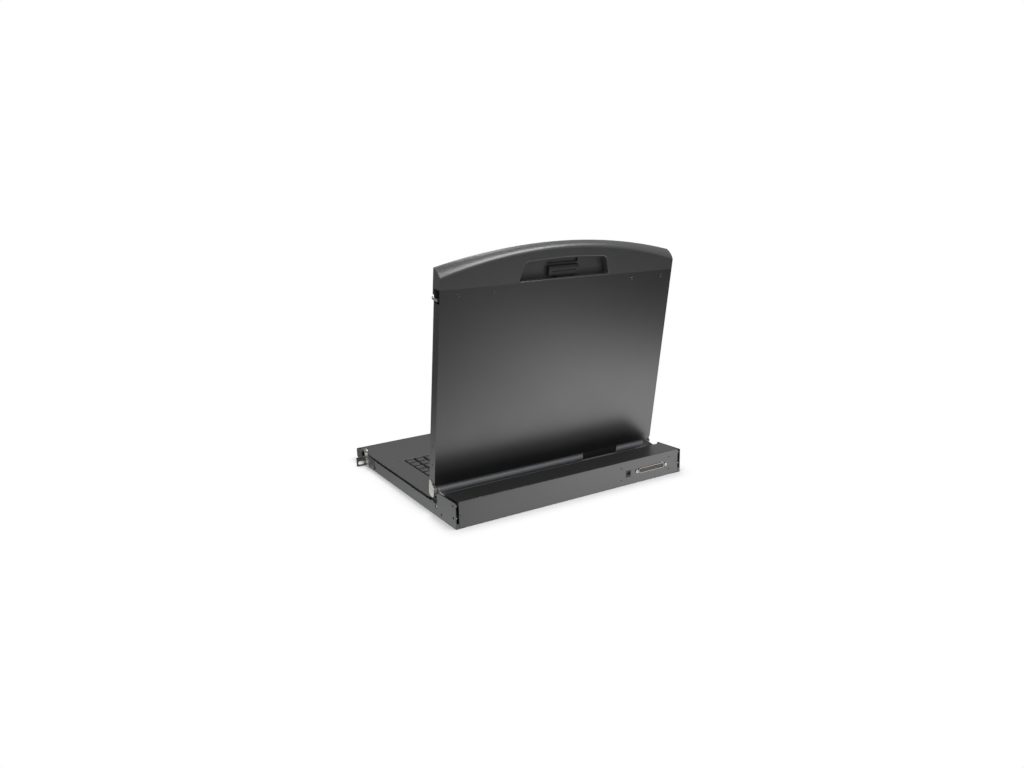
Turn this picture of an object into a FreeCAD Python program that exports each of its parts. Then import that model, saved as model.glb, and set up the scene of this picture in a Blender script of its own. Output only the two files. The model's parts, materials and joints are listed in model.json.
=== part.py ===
"""Rack console drawer, 1U: a keyboard tray on telescopic slides with a fold-up flat screen lid.

The frame is in millimetres. X runs to the user's right, +Y to the back of the rack and +Z up.
The origin is the bottom centre of the whole object's box. Fore-and-aft places are given as
depths, measured forward from the outer face of the rear panel. The lid is modelled lying flat
in its own frame (x, l, b): l runs from its hinge edge to its crown, b from its back to its screen.
"""
import FreeCAD, Part
import math
import os

os.makedirs("parts", exist_ok=True)
V = FreeCAD.Vector

# ---- Driving dimensions ----------------------------------------------------------------------
CHASSIS_HALF = 223.0          # outer half width over the side rails
RAIL_DEPTH = 356.0            # length of the rails
EAR_DEPTH = 358.0             # front face of the rack ears
RAIL_SHEET = 1.2
RAIL_LOW = 19.0               # height of the rails' long low part
RAIL_HIGH = 41.7              # height of their raised rear end
RAIL_HIGH_DEPTH = 59.0
FLANGE_WIDTH = 16.0

EAR_HALF = 241.3              # half of the 482.6 mm rack panel width
EAR_SLOT_X = 232.55           # half of the 465.1 mm rack hole spacing
EAR_SLOT_Z = 7.2
EAR_SLOT_LENGTH = 12.3
EAR_SLOT_HALF = 3.5
EAR_TOP = 18.0
EAR_SHEET = 2.0
EAR_LEG_SHEET = 1.0
EAR_RIVETS = ((323.2, 9.2), (336.5, 5.4))       # depth and height
REAR_NUTS = ((7.5, 35.5), (7.5, 16.2))

TRAY_HALF = 217.0             # outer face of the tray's side walls
TRAY_SHEET = 1.0
TRAY_BOTTOM = 1.6
DECK_TOP = 22.2
DECK_SHEET = 1.0
DECK_HALF = 219.5
DECK_SEAM = 284.0             # joint between keyboard surround and palm rest
FRONT_DEPTH = 400.3           # front edge of the deck at its corners
FRONT_BOW = 3.3               # the front edge bows out by this much in the middle
FASCIA_HALF = 223.8

BOX_DEPTH = 45.0              # rear electronics box
BOX_TOP = 42.6
REAR_SHEET = 1.2

KEY_PITCH = 18.8              # one key unit across
ROW_PITCH = 18.6
KEYBOARD_UNITS = 19
KEY_TOP = 21.4
KEY_BASE = 15.0
WELL_HALF = 179.6             # keyboard opening in the deck
WELL_FRONT = DECK_SEAM - 1.2
WELL_BACK = 169.0

LID_HALF = 218.7
LID_TILT = 9.0                # degrees past upright, towards the back
LID_FOOT_DEPTH = 76.8         # back lower edge of the open lid
LID_FOOT_Z = 43.9
LID_SEAM = 315.0              # metal cover ends here, the moulded crown begins
LID_THICK = 19.3
BEZEL_BACK = 16.3             # back of the front bezel
CROWN_HALF = 220.7
CROWN_TOP = 371.6
CROWN_CORNER = 345.0
CREST_TOP = 371.0             # the same outline on the back face
CREST_CORNER = 338.0
LID_SHEET = 1.0

HINGE_L = -9.82               # hinge axis in the lid's frame
HINGE_B = 7.0
BARREL_R = 8.2                # curved covers behind the hinge line
PIN_R = 2.5
PIN_CLEARANCE = 0.05

JACKSCREW_PITCH = 63.5        # jack screw spacing of a 37-way D connector
JACKSCREW_LENGTH = 1.8        # stands this far out of the rear panel
CONNECTOR_X = -156.5
CONNECTOR_Z = 20.8
JACK_X = -107.0
JACK_Z = 19.8

OVERALL_FRONT = FRONT_DEPTH + FRONT_BOW
REAR_Y = (OVERALL_FRONT - JACKSCREW_LENGTH) / 2   # the rear panel's outer face


# ---- Drawing helpers -------------------------------------------------------------------------
def y_at(depth):
    """Y of a depth measured forward from the rear panel."""
    return REAR_Y - depth


def rounded_wire(points, place):
    """Closed wire through (u, v) or (u, v, radius) points, with a tangent arc at each radius."""
    corners = [(FreeCAD.Vector(p[0], p[1], 0), p[2] if len(p) > 2 else 0.0) for p in points]
    starts, ends, arcs = [], [], []
    for i, (corner, radius) in enumerate(corners):
        before = (corners[i - 1][0] - corner).normalize()
        after = (corners[(i + 1) % len(corners)][0] - corner).normalize()
        if radius == 0.0:
            starts.append(corner)
            ends.append(corner)
            arcs.append(None)
            continue
        half_angle = before.getAngle(after) / 2
        reach = radius / math.tan(half_angle)
        bisector = (before + after).normalize()
        middle = corner + bisector * (radius / math.sin(half_angle) - radius)
        starts.append(corner + before * reach)
        ends.append(corner + after * reach)
        arcs.append(middle)
    edges = []
    for i in range(len(corners)):
        if arcs[i] is not None:
            ends_3d = [place(p.x, p.y) for p in (starts[i], arcs[i], ends[i])]
            edges.append(Part.Arc(*ends_3d).toShape())
        following = starts[(i + 1) % len(corners)]
        if ends[i].distanceToPoint(following) > 1e-6:
            line = Part.LineSegment(place(ends[i].x, ends[i].y), place(following.x, following.y))
            edges.append(line.toShape())
    return Part.Wire(edges)


def plate_x(points, x0, x1):
    """Plate of outline (depth, z) between two X planes."""
    wire = rounded_wire(points, lambda d, z: V(x0, y_at(d), z))
    return Part.Face(wire).extrude(V(x1 - x0, 0, 0))


def plate_y(points, d0, d1):
    """Plate of outline (x, z) between two depths."""
    wire = rounded_wire(points, lambda x, z: V(x, y_at(d0), z))
    return Part.Face(wire).extrude(V(0, d0 - d1, 0))


def plate_z(points, z0, z1):
    """Plate of outline (x, depth) between two heights."""
    wire = rounded_wire(points, lambda x, d: V(x, y_at(d), z0))
    return Part.Face(wire).extrude(V(0, 0, z1 - z0))


def block(x0, x1, d0, d1, z0, z1):
    return Part.makeBox(x1 - x0, d1 - d0, z1 - z0, V(x0, y_at(d1), z0))


def rod_x(x0, x1, depth, z, radius):
    return Part.makeCylinder(radius, x1 - x0, V(x0, y_at(depth), z), V(1, 0, 0))


def rod_y(x, z, d0, d1, radius):
    return Part.makeCylinder(radius, d1 - d0, V(x, y_at(d1), z), V(0, 1, 0))


def rod_z(x, depth, z0, z1, radius):
    return Part.makeCylinder(radius, z1 - z0, V(x, y_at(depth), z0), V(0, 0, 1))


def stud(base, axis, length, radius, sides=12):
    """Small many-sided peg, standing on a base point along X, Y or Z."""
    across = V(0, 0, 1) if abs(axis.z) < 0.5 else V(1, 0, 0)
    other = axis.cross(across)
    corners = []
    for i in range(sides + 1):
        angle = 2 * math.pi * i / sides
        corners.append(base + across * (radius * math.cos(angle)) + other * (radius * math.sin(angle)))
    return Part.Face(Part.makePolygon(corners)).extrude(axis * length)


def stud_x(x0, x1, depth, z, radius, sides=12):
    return stud(V(x0, y_at(depth), z), V(1, 0, 0), x1 - x0, radius, sides)


def stud_z(x, depth, z0, z1, radius, sides=12):
    return stud(V(x, y_at(depth), z0), V(0, 0, 1), z1 - z0, radius, sides)


def rectangle(u0, u1, v0, v1, radius=0.0):
    return [(u0, v0, radius), (u1, v0, radius), (u1, v1, radius), (u0, v1, radius)]


def slot_points(u, v, length, half, along_u=True):
    """Oblong outline with full round ends."""
    across = half - 0.001
    if along_u:
        return rectangle(u - length / 2, u + length / 2, v - half, v + half, across)
    return rectangle(u - half, u + half, v - length / 2, v + length / 2, across)


def mirror(shape):
    return shape.mirror(V(0, 0, 0), V(1, 0, 0))


def joined(shapes):
    return shapes[0].fuse(shapes[1:]).removeSplitter()


def button_head(x, z, radius, height):
    """Low tapered head standing out behind the rear panel."""
    return Part.makeCone(radius, radius * 0.6, height, V(x, y_at(0), z), V(0, 1, 0))


# ---- Lid frame -------------------------------------------------------------------------------
LID_PLACE = FreeCAD.Placement(V(0, y_at(LID_FOOT_DEPTH), LID_FOOT_Z),
                              FreeCAD.Rotation(V(1, 0, 0), 90 - LID_TILT))


def in_lid(shape):
    return shape.transformed(LID_PLACE.toMatrix(), copy=True)


def lid_wire(points, b):
    return rounded_wire(points, lambda x, l: V(x, l, b))


def lid_plate(points, b0, b1):
    return Part.Face(lid_wire(points, b0)).extrude(V(0, 0, b1 - b0))


def lid_loft(points0, b0, points1, b1):
    return Part.makeLoft([lid_wire(points0, b0), lid_wire(points1, b1)], True, True)


def lid_block(x0, x1, l0, l1, b0, b1):
    return Part.makeBox(x1 - x0, l1 - l0, b1 - b0, V(x0, l0, b0))


def lid_rod(x, l, b0, b1, radius):
    return Part.makeCylinder(radius, b1 - b0, V(x, l, b0), V(0, 0, 1))


def lid_stud(x, l, b0, b1, radius, sides=12):
    return stud(V(x, l, b0), V(0, 0, 1), b1 - b0, radius, sides)


def lid_side_plate(points, x0, x1):
    """Plate of outline (l, b) between two X planes, in the lid's frame."""
    wire = rounded_wire(points, lambda l, b: V(x0, l, b))
    return Part.Face(wire).extrude(V(x1 - x0, 0, 0))


# ---- Fixed rails -----------------------------------------------------------------------------
def side_rail():
    """Folded sheet rail: web with a raised rear end, bottom flange and a small rear tab."""
    web = plate_x([(0, 0), (RAIL_DEPTH, 0), (RAIL_DEPTH, RAIL_LOW, 2), (64, RAIL_LOW, 2),
                   (RAIL_HIGH_DEPTH + 1.5, 27, 3), (RAIL_HIGH_DEPTH, 39.8, 2.5), (0, RAIL_HIGH, 1)],
                  CHASSIS_HALF - RAIL_SHEET, CHASSIS_HALF)
    flange = block(CHASSIS_HALF - FLANGE_WIDTH, CHASSIS_HALF, 0, RAIL_DEPTH - 4, 0, RAIL_SHEET)
    tab = block(TRAY_HALF + 0.4, CHASSIS_HALF, 0, RAIL_SHEET, 0, 8.4)
    places = [(d, z, 2.2) for d, z in REAR_NUTS] + [(d, z, 1.7) for d, z in EAR_RIVETS]
    places += [(48, 7.8, 2.2), (312, 7.8, 2.2)]
    holes = [rod_x(CHASSIS_HALF - 3, CHASSIS_HALF + 1, d, z, r) for d, z, r in places]
    notch = plate_x(rectangle(62, 70, 12.5, 18, 1), CHASSIS_HALF - 3, CHASSIS_HALF + 1)
    return joined([web, flange, tab]).cut(holes + [notch])


def ear():
    """Rack ear: slotted front flange folded out from a leg riveted along the rail."""
    front = plate_y([(CHASSIS_HALF, 1.0), (EAR_HALF, 1.0, 1.5), (EAR_HALF, EAR_TOP, 1.5),
                     (CHASSIS_HALF, EAR_TOP)], EAR_DEPTH - EAR_SHEET, EAR_DEPTH)
    leg = plate_x([(317, 1.6, 2), (EAR_DEPTH, 1.0), (EAR_DEPTH, EAR_TOP), (317, 16, 2)],
                  CHASSIS_HALF, CHASSIS_HALF + EAR_LEG_SHEET)
    slot = plate_y(slot_points(EAR_SLOT_X, EAR_SLOT_Z, EAR_SLOT_LENGTH, EAR_SLOT_HALF),
                   EAR_DEPTH - 6, EAR_DEPTH + 2)
    holes = [rod_x(CHASSIS_HALF - 1, CHASSIS_HALF + 3, depth, z, 1.7) for depth, z in EAR_RIVETS]
    return joined([front, leg]).cut([slot] + holes)


def front_bracket():
    """Zinc strap standing on the ear's leg, with an oblong eye above two holes."""
    inner = CHASSIS_HALF + EAR_LEG_SHEET
    back, front = 340.0, EAR_DEPTH - EAR_SHEET
    outline = [(back, 1.6, 1), (front, 1.6, 1), (front, 34.5, 5), (back + 2, 34.5, 5),
               (back, 20, 8)]
    strap = plate_x(outline, inner, inner + 1.2)
    middle = (back + front) / 2
    eye = plate_x(slot_points(middle + 0.8, 28.6, 8.4, 2.3, along_u=False), inner - 1, inner + 3)
    holes = [rod_x(inner - 1, inner + 3, middle, z, 2.3) for z in (17.2, 6.2)]
    return strap.cut([eye] + holes)


def cross_strap(depth0, depth1):
    """Flat tie between the rails' bottom flanges, with a stiffening slot."""
    reach = CHASSIS_HALF - FLANGE_WIDTH
    strap = block(-reach, reach, depth0, depth1, 0, RAIL_SHEET)
    middle = (depth0 + depth1) / 2
    slots = [plate_z(slot_points(x, middle, 90, 6), -1, 3) for x in (-120, 0, 120)]
    return strap.cut(slots)


def ear_rivets():
    """Black rivets that hold the ears' legs on the rails."""
    outer = CHASSIS_HALF + EAR_LEG_SHEET
    rivets = []
    for depth, z in EAR_RIVETS:
        shank = stud_x(CHASSIS_HALF - RAIL_SHEET, outer, depth, z, 1.6)
        head = stud_x(outer, outer + 0.8, depth, z, 2.7, 16)
        head = head.makeChamfer(0.5, [e for e in head.Edges if e.BoundBox.XMin > outer + 0.7])
        rivets.append(joined([shank, head]))
    return rivets + [mirror(r) for r in rivets]


def rear_nuts():
    """Bright press-in nuts behind the bracket holes in the raised rear ends of the rails."""
    inner = CHASSIS_HALF - RAIL_SHEET
    nuts = [stud_x(inner - 2.4, inner, depth, z, 3.4, 6).cut(rod_x(inner - 4, inner + 1, depth, z, 2.2))
            for depth, z in REAR_NUTS]
    return nuts + [mirror(n) for n in nuts]


def channel(x_web, x_lips, wall, z0, z1, depth0, depth1):
    """Slide member: a C channel whose web is at x_web and whose lips reach to x_lips."""
    low, high = min(x_web, x_lips), max(x_web, x_lips)
    side = wall if x_web < x_lips else -wall
    web = block(min(x_web, x_web + side), max(x_web, x_web + side), depth0, depth1, z0, z1)
    lips = [block(low, high, depth0, depth1, z, z + wall) for z in (z0, z1 - wall)]
    return joined([web] + lips)


def slide_outer():
    web = CHASSIS_HALF - RAIL_SHEET
    member = channel(web, web - 3.4, 0.9, 3.0, 18.0, 14, 338)
    return member.cut([rod_x(web - 2, web + 1, d, 7.8, 2.6) for d in (48, 180, 312)])


def slide_middle():
    web = CHASSIS_HALF - RAIL_SHEET - 1.5
    member = channel(web, web - 2.6, 0.8, 4.3, 16.7, 15, 338)
    windows = [plate_x(slot_points(d, 10.5, 26, 2.6), web - 2, web + 1) for d in (60, 173, 286)]
    return member.cut(windows)


def slide_inner():
    """Bar on the tray wall, necked so that the middle member's lips close over it."""
    bar = block(TRAY_HALF, TRAY_HALF + 2.2, 16, 376, 5.6, 15.4)
    groove = block(TRAY_HALF + 1.4, TRAY_HALF + 3, 15, 377, 8.2, 12.8)
    nose = plate_x([(376, 5.6), (391, 7.5, 2), (391, 13.5, 2), (376, 15.4)],
                   TRAY_HALF, TRAY_HALF + 1.4)
    return joined([bar.cut(groove), nose])


# ---- Drawer ----------------------------------------------------------------------------------
def tray_pan():
    """Folded tray: bottom, front upstand and side walls that step up towards the rear box."""
    wall = TRAY_SHEET
    front = 394.0
    step_top = DECK_TOP - DECK_SHEET
    bottom = block(-TRAY_HALF, TRAY_HALF, REAR_SHEET, front, TRAY_BOTTOM, TRAY_BOTTOM + wall)
    side = plate_x([(REAR_SHEET, TRAY_BOTTOM), (front, TRAY_BOTTOM), (front, step_top),
                    (92, step_top), (91, 24.0, 1), (75, 24.0, 1), (73, 32.3, 2),
                    (BOX_DEPTH + 2, 32.3),
                    (BOX_DEPTH + 2, BOX_TOP - 1.0), (REAR_SHEET, BOX_TOP - 1.0)],
                   TRAY_HALF - wall, TRAY_HALF)
    upstand = block(-TRAY_HALF, TRAY_HALF, front - wall, front, TRAY_BOTTOM, step_top)
    rear_wells = [plate_z(slot_points(x, 63, 52, 3), 0, 5) for x in (-152, -76, 0, 76, 152)]
    ribs = [block(-150 + 60 * i, -149 + 60 * i, 300, 392, TRAY_BOTTOM, TRAY_BOTTOM + 6)
            for i in range(6)]
    return joined([bottom, side, mirror(side), upstand] + ribs).cut(rear_wells)


def d_outline(x, z, width, height, radius):
    """Outline of a D connector: long side up, ends leaning in by ten degrees."""
    lean = height * math.tan(math.radians(10)) / 2
    half = width / 2
    return [(x - half + lean, z - height / 2, radius), (x + half - lean, z - height / 2, radius),
            (x + half + lean, z + height / 2, radius), (x - half - lean, z + height / 2, radius)]


def rear_panel():
    panel = plate_y(rectangle(-TRAY_HALF, TRAY_HALF, TRAY_BOTTOM, BOX_TOP - 0.2, 0.6),
                    0, REAR_SHEET)
    hole_d = plate_y(d_outline(CONNECTOR_X, CONNECTOR_Z + 0.3, 57.0, 10.4, 2.8), -1, 3)
    hole_jack = plate_y(rectangle(JACK_X - 5.5, JACK_X + 5.5, JACK_Z - 5.9, JACK_Z + 5.9, 0.8),
                        -1, 3)
    posts = [rod_y(CONNECTOR_X + side * JACKSCREW_PITCH / 2, CONNECTOR_Z, -1, 3, 1.8)
             for side in (-1, 1)]
    return panel.cut([hole_d, hole_jack] + posts)


def box_cover():
    """Folded lid of the rear box: top sheet, front wall down to the deck, end flanges."""
    sheet = 1.0
    top = block(-TRAY_HALF, TRAY_HALF, REAR_SHEET, BOX_DEPTH, BOX_TOP - sheet, BOX_TOP)
    front = block(-TRAY_HALF + 1, TRAY_HALF - 1, BOX_DEPTH - sheet, BOX_DEPTH,
                  DECK_TOP, BOX_TOP)
    cable_gate = plate_y(rectangle(-128, -86, DECK_TOP - 2, 33, 3), BOX_DEPTH - 2, BOX_DEPTH + 1)
    ends = [block(x, x + 1, 4, BOX_DEPTH - sheet, 30, BOX_TOP - sheet)
            for x in (-TRAY_HALF + 1, TRAY_HALF - 2)]
    return joined([top, front.cut(cable_gate)] + ends)


def keyboard_surround():
    """Deck moulding round the keyboard: shallow tray skin with a bevelled well and skirts."""
    z0 = DECK_TOP - DECK_SHEET
    deck = block(-DECK_HALF, DECK_HALF, 93, DECK_SEAM - 0.15, z0, DECK_TOP)
    shelf = block(-TRAY_HALF + 1, TRAY_HALF - 1, BOX_DEPTH - 1, 93, z0, DECK_TOP)
    skirt = block(DECK_HALF - 1, DECK_HALF, 98, DECK_SEAM - 0.15, z0 - 1.2, z0)
    rim = 1.2
    well = block(-WELL_HALF - rim, WELL_HALF + rim, WELL_BACK - rim, WELL_FRONT + 0.6, 12.2, z0)
    opening = block(-WELL_HALF, WELL_HALF, WELL_BACK, WELL_FRONT, 10, DECK_TOP + 1)
    bevel_outer = rounded_wire(rectangle(-WELL_HALF - 1, WELL_HALF + 1, WELL_BACK - 1,
                                         WELL_FRONT + 1), lambda x, d: V(x, y_at(d), DECK_TOP))
    bevel_inner = rounded_wire(rectangle(-WELL_HALF, WELL_HALF, WELL_BACK, WELL_FRONT),
                               lambda x, d: V(x, y_at(d), DECK_TOP - 0.9))
    bevel = Part.makeLoft([bevel_outer, bevel_inner], True, True)
    body = joined([deck, shelf, skirt, mirror(skirt), well])
    return body.cut([opening, bevel])


def keyboard_base():
    """Key carrier: a plate with one guide channel under each row."""
    plate = block(-WELL_HALF + 0.3, WELL_HALF - 0.3, WELL_BACK + 0.3, WELL_FRONT - 0.3, 7.6, 12.2)
    channels = [block(-WELL_HALF + 3, WELL_HALF - 3, row_depth(i) - 2.8, row_depth(i) + 2.8,
                      8.8, 14) for i in range(len(ROWS))]
    feet = [stud_z(x, d, TRAY_BOTTOM + TRAY_SHEET, 7.6, 4, 6)
            for x in (-160, 0, 160) for d in (182, 268)]
    return joined([plate.cut(channels)] + feet)


# Key widths in units, from the user's left; the space bar is a piece of its own.
NUMBER_PAD = [1, 1, 1, 1]
ROWS = [
    [1.25, 1.25, 1.25, "space", 1, 1, 1, 1, 1, 1] + [2, 1, 1],
    [2.25] + [1] * 10 + [1.75, 1] + NUMBER_PAD,
    [1.75] + [1] * 11 + [2.25] + NUMBER_PAD,
    [1.5] + [1] * 12 + [1.5] + NUMBER_PAD,
    [1] * 13 + [2] + NUMBER_PAD,
    [1] * KEYBOARD_UNITS,
]
ROW_NAMES = ["bottom", "lower", "home", "upper", "number", "function"]


def row_depth(index):
    """Depth of a key row's middle; row 0 is nearest to the user."""
    return WELL_FRONT - 1.0 - ROW_PITCH / 2 - index * ROW_PITCH


def keycap(x0, x1, depth):
    """Tapered cap on a square stem."""
    d0, d1 = depth - ROW_PITCH / 2, depth + ROW_PITCH / 2
    # A wedge tapers along Y, so it is drawn lying on its front and stood up.
    cap = Part.makeWedge(x0 + 0.5, KEY_BASE, -y_at(d0 + 0.5), -y_at(d0 + 1.6), x0 + 2.4,
                         x1 - 0.5, KEY_TOP, -y_at(d1 - 0.5), -y_at(d1 - 2.6), x1 - 2.4)
    cap.rotate(V(0, 0, 0), V(1, 0, 0), 90)
    middle = (x0 + x1) / 2
    stem = block(middle - 2.4, middle + 2.4, depth - 2.4, depth + 2.4,
                 KEY_BASE - 3.3, KEY_BASE)
    return joined([cap, stem])


def key_row(index):
    """Solids of one row's caps, and the space bar's solid if the row has one."""
    widths = ROWS[index]
    space = KEYBOARD_UNITS - sum(w for w in widths if w != "space")
    x = -KEYBOARD_UNITS * KEY_PITCH / 2
    caps, bar = [], None
    for width in widths:
        units = space if width == "space" else width
        cap = keycap(x, x + units * KEY_PITCH, row_depth(index))
        if width == "space":
            bar = cap
        else:
            caps.append(cap)
        x += units * KEY_PITCH
    return caps, bar


PAD_HALF = 32.5
PAD_BACK, PAD_FRONT = 306.0, 354.0
BUTTON_FRONT = 368.0


def front_arc(half, depth_edge, bow):
    """Corner, middle and corner of the bowed front outline at a given half width."""
    drop = bow * (half / FASCIA_HALF) ** 2
    return [V(half, y_at(depth_edge + bow - drop), 0), V(0, y_at(depth_edge + bow), 0),
            V(-half, y_at(depth_edge + bow - drop), 0)]


def bowed_plate(half, back, depth_edge, z0, z1):
    """Plate from a straight back edge to the bowed front edge."""
    right, middle, left = front_arc(half, depth_edge, FRONT_BOW)
    lift = V(0, 0, z0)
    back_right, back_left = V(half, y_at(back), z0), V(-half, y_at(back), z0)
    edges = [Part.LineSegment(back_left, back_right).toShape(),
             Part.LineSegment(back_right, right + lift).toShape(),
             Part.Arc(right + lift, middle + lift, left + lift).toShape(),
             Part.LineSegment(left + lift, back_left).toShape()]
    return Part.Face(Part.Wire(edges)).extrude(V(0, 0, z1 - z0))


def face_depth(x):
    """Depth of the bowed front face at a place across the width."""
    return FRONT_DEPTH + FRONT_BOW * (1 - (x / FASCIA_HALF) ** 2)


LATCH_SLOT = (391.0, 399.3)     # depths of the slots that take the lid's hooks


def latch_slots():
    reach = (DECK_HALF - 1.3, DECK_HALF + 1.0)
    cut = block(reach[0], reach[1], LATCH_SLOT[0], LATCH_SLOT[1], 15, 30)
    return [cut, mirror(cut)]


def palm_rest():
    """Palm rest moulding with the touch pad and button openings and stiffening ribs below."""
    z0 = DECK_TOP - DECK_SHEET
    back = DECK_SEAM + 0.15
    skin = bowed_plate(DECK_HALF, back, FRONT_DEPTH - 4.2, z0, DECK_TOP)
    skirt = block(DECK_HALF - 1, DECK_HALF, back, 390, z0 - 1.2, z0)
    rib_depths = (296.0, 378.0)
    ribs = [block(-200, 200, d, d + 1.2, z0 - 5, z0) for d in rib_depths]
    frame = block(-PAD_HALF - 2, PAD_HALF + 2, PAD_BACK - 2, BUTTON_FRONT + 2, z0 - 4, z0)
    opening = block(-PAD_HALF - 0.4, PAD_HALF + 0.4, PAD_BACK - 0.4, BUTTON_FRONT + 0.4,
                    z0 - 3, DECK_TOP + 1)
    body = joined([skin, skirt, mirror(skirt), frame] + ribs)
    return body.cut([opening] + latch_slots())


def touchpad():
    z0 = DECK_TOP - DECK_SHEET - 3
    pad = block(-PAD_HALF, PAD_HALF, PAD_BACK, PAD_FRONT, DECK_TOP - 1.6, DECK_TOP - 0.4)
    post = block(-PAD_HALF + 4, PAD_HALF - 4, PAD_BACK + 4, PAD_FRONT - 4, z0, DECK_TOP - 1.6)
    return joined([pad, post])


def touchpad_button(side):
    """Click button in front of the pad; side is -1 for left and 1 for right."""
    x0, x1 = sorted((side * 0.3, side * PAD_HALF))
    key = block(x0, x1, PAD_FRONT + 0.5, BUTTON_FRONT, DECK_TOP - 2.0, DECK_TOP - 0.2)
    key = key.makeChamfer(0.4, [e for e in key.Edges if e.BoundBox.ZMin > DECK_TOP - 0.3])
    stem = rod_z(side * PAD_HALF / 2, (PAD_FRONT + BUTTON_FRONT) / 2, DECK_TOP - 3.15,
                 DECK_TOP - 2.0, 2)
    return joined([key, stem])


def front_fascia():
    """Moulded front bar: bowed face, wings wider than the rails, undercut finger edge."""
    outer = bowed_plate(FASCIA_HALF, 376.0, FRONT_DEPTH, 5.0, DECK_TOP)
    hollow = bowed_plate(FASCIA_HALF - 2.2, 374.0, FRONT_DEPTH - 2.4, 4.0, DECK_TOP - 2.2)
    seat = bowed_plate(DECK_HALF + 0.25, 370.0, FRONT_DEPTH - 4.0, DECK_TOP - 6.0, DECK_TOP + 1)
    tray_room = block(-TRAY_HALF - 3.2, TRAY_HALF + 3.2, 370, 394.2, 0, DECK_TOP + 1)
    lean = plate_x([(375, 4), (375, 14), (380.5, 4)], -FASCIA_HALF - 1, FASCIA_HALF + 1)
    chin = plate_x([(410, 4), (410, 11), (395.0, 4)], -FASCIA_HALF - 1, FASCIA_HALF + 1)
    body = outer.cut([hollow, seat, tray_room, lean, chin] + latch_slots())
    ribs = [block(x, x + 1.2, 394.2, face_depth(x) - 1.0, 10, DECK_TOP - 6.2)
            for x in (-180, -120, -60, 0, 60, 120, 180)]
    return joined([body] + ribs)


def hinge_axis():
    """Depth and height of the hinge axis."""
    tilt = math.radians(LID_TILT)
    depth = LID_FOOT_DEPTH + HINGE_B * math.cos(tilt) - HINGE_L * math.sin(tilt)
    z = LID_FOOT_Z + HINGE_B * math.sin(tilt) + HINGE_L * math.cos(tilt)
    return depth, z


def hinge_bracket():
    """Zinc hinge base: upright ear round the pin, foot on the deck, arm back to the box."""
    depth, z = hinge_axis()
    x0, x1 = 212.0, 213.6
    ear_plate = plate_x([(76, DECK_TOP), (92.5, DECK_TOP), (depth + 7.2, z + 7.2, 7.19),
                         (depth - 7.2, z + 7.2, 7.19)], x0, x1)
    foot = plate_z(rectangle(198, x1, 62, 92.5, 1.5), DECK_TOP, DECK_TOP + 1.6)
    arm = plate_x([(50, DECK_TOP), (82, DECK_TOP), (80, 38), (74.6, 40.2, 1), (71, 38.4, 3),
                   (58, 35.8, 4), (50, 35.5, 1)], x0, x1)
    turn = plate_y([(203.5, 29, 2), (x1, 29), (x1, 37.4), (203.5, 37.4, 2)], 50, 51.5)
    pin_hole = rod_x(x0 - 1, x1 + 1, depth, z, PIN_R + PIN_CLEARANCE)
    screw_holes = [rod_z(203, d, DECK_TOP - 1, DECK_TOP + 3, 1.6) for d in (69, 86)]
    return joined([ear_plate, foot, arm, turn]).cut([pin_hole] + screw_holes)


def hinge_screws():
    """Screws through the hinge feet into the deck."""
    screws = []
    for d in (69, 86):
        shank = stud_z(203, d, DECK_TOP, DECK_TOP + 1.6, 1.5)
        head = stud_z(203, d, DECK_TOP + 1.6, DECK_TOP + 2.9, 2.7, 16)
        screws.append(joined([shank, head]))
    return screws + [mirror(s) for s in screws]


def io_board():
    """Circuit board behind the rear panel, on four posts, with its larger parts."""
    board = block(-206, 70, 5, 42, 9.0, 10.6)
    posts = [stud_z(x, d, TRAY_BOTTOM + TRAY_SHEET, 9.0, 2.7, 6) for x in (-200, 64)
             for d in (10, 37)]
    chips = [block(x, x + w, d, d + w, 10.6, 12.2) for x, d, w in
             ((-60, 14, 20), (-20, 16, 14), (20, 12, 16), (-178, 26, 10))]
    cans = [stud_z(x, 34, 10.6, 19, 4, 16) for x in (-96, -84, 44)]
    return joined([board] + posts + chips + cans)


def power_jack():
    """Barrel socket: square body with a round mouth and its centre contact."""
    body = block(JACK_X - 5.2, JACK_X + 5.2, -0.4, 12, JACK_Z - 5.6, JACK_Z + 5.6)
    mouth = rod_y(JACK_X, JACK_Z + 0.9, -1, 9.5, 3.2)
    contact = rod_y(JACK_X, JACK_Z + 0.9, 1, 9.6, 1.0)
    legs = block(JACK_X - 4, JACK_X + 4, 3, 12, 10.6, JACK_Z - 5.6)
    return joined([body.cut(mouth), contact, legs])


def connector_shell():
    """Plated shell of the D connector with its flange behind the panel."""
    outer = plate_y(d_outline(CONNECTOR_X, CONNECTOR_Z, 55.0, 8.3, 2.4), -1.6, 3.0)
    inner = plate_y(d_outline(CONNECTOR_X, CONNECTOR_Z, 54.0, 7.3, 2.0), -3.0, 4.0)
    flange = plate_y(rectangle(CONNECTOR_X - 34.5, CONNECTOR_X + 34.5, CONNECTOR_Z - 6.2,
                               CONNECTOR_Z + 6.2, 1), REAR_SHEET, 3.0)
    holes = [rod_y(CONNECTOR_X + side * JACKSCREW_PITCH / 2, CONNECTOR_Z, 0, 4, 1.75)
             for side in (-1, 1)]
    return joined([outer, flange]).cut([inner] + holes)


def connector_insert():
    """Black insulator with two rows of contact sockets."""
    face = plate_y(d_outline(CONNECTOR_X, CONNECTOR_Z, 53.9, 7.2, 1.95), -1.2, 3.0)
    body = block(CONNECTOR_X - 28, CONNECTOR_X + 28, 3.0, 10, CONNECTOR_Z - 5, CONNECTOR_Z + 5)
    legs = block(CONNECTOR_X - 27, CONNECTOR_X + 27, 5, 10, 10.6, CONNECTOR_Z - 5)
    return joined([face, body, legs])


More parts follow.
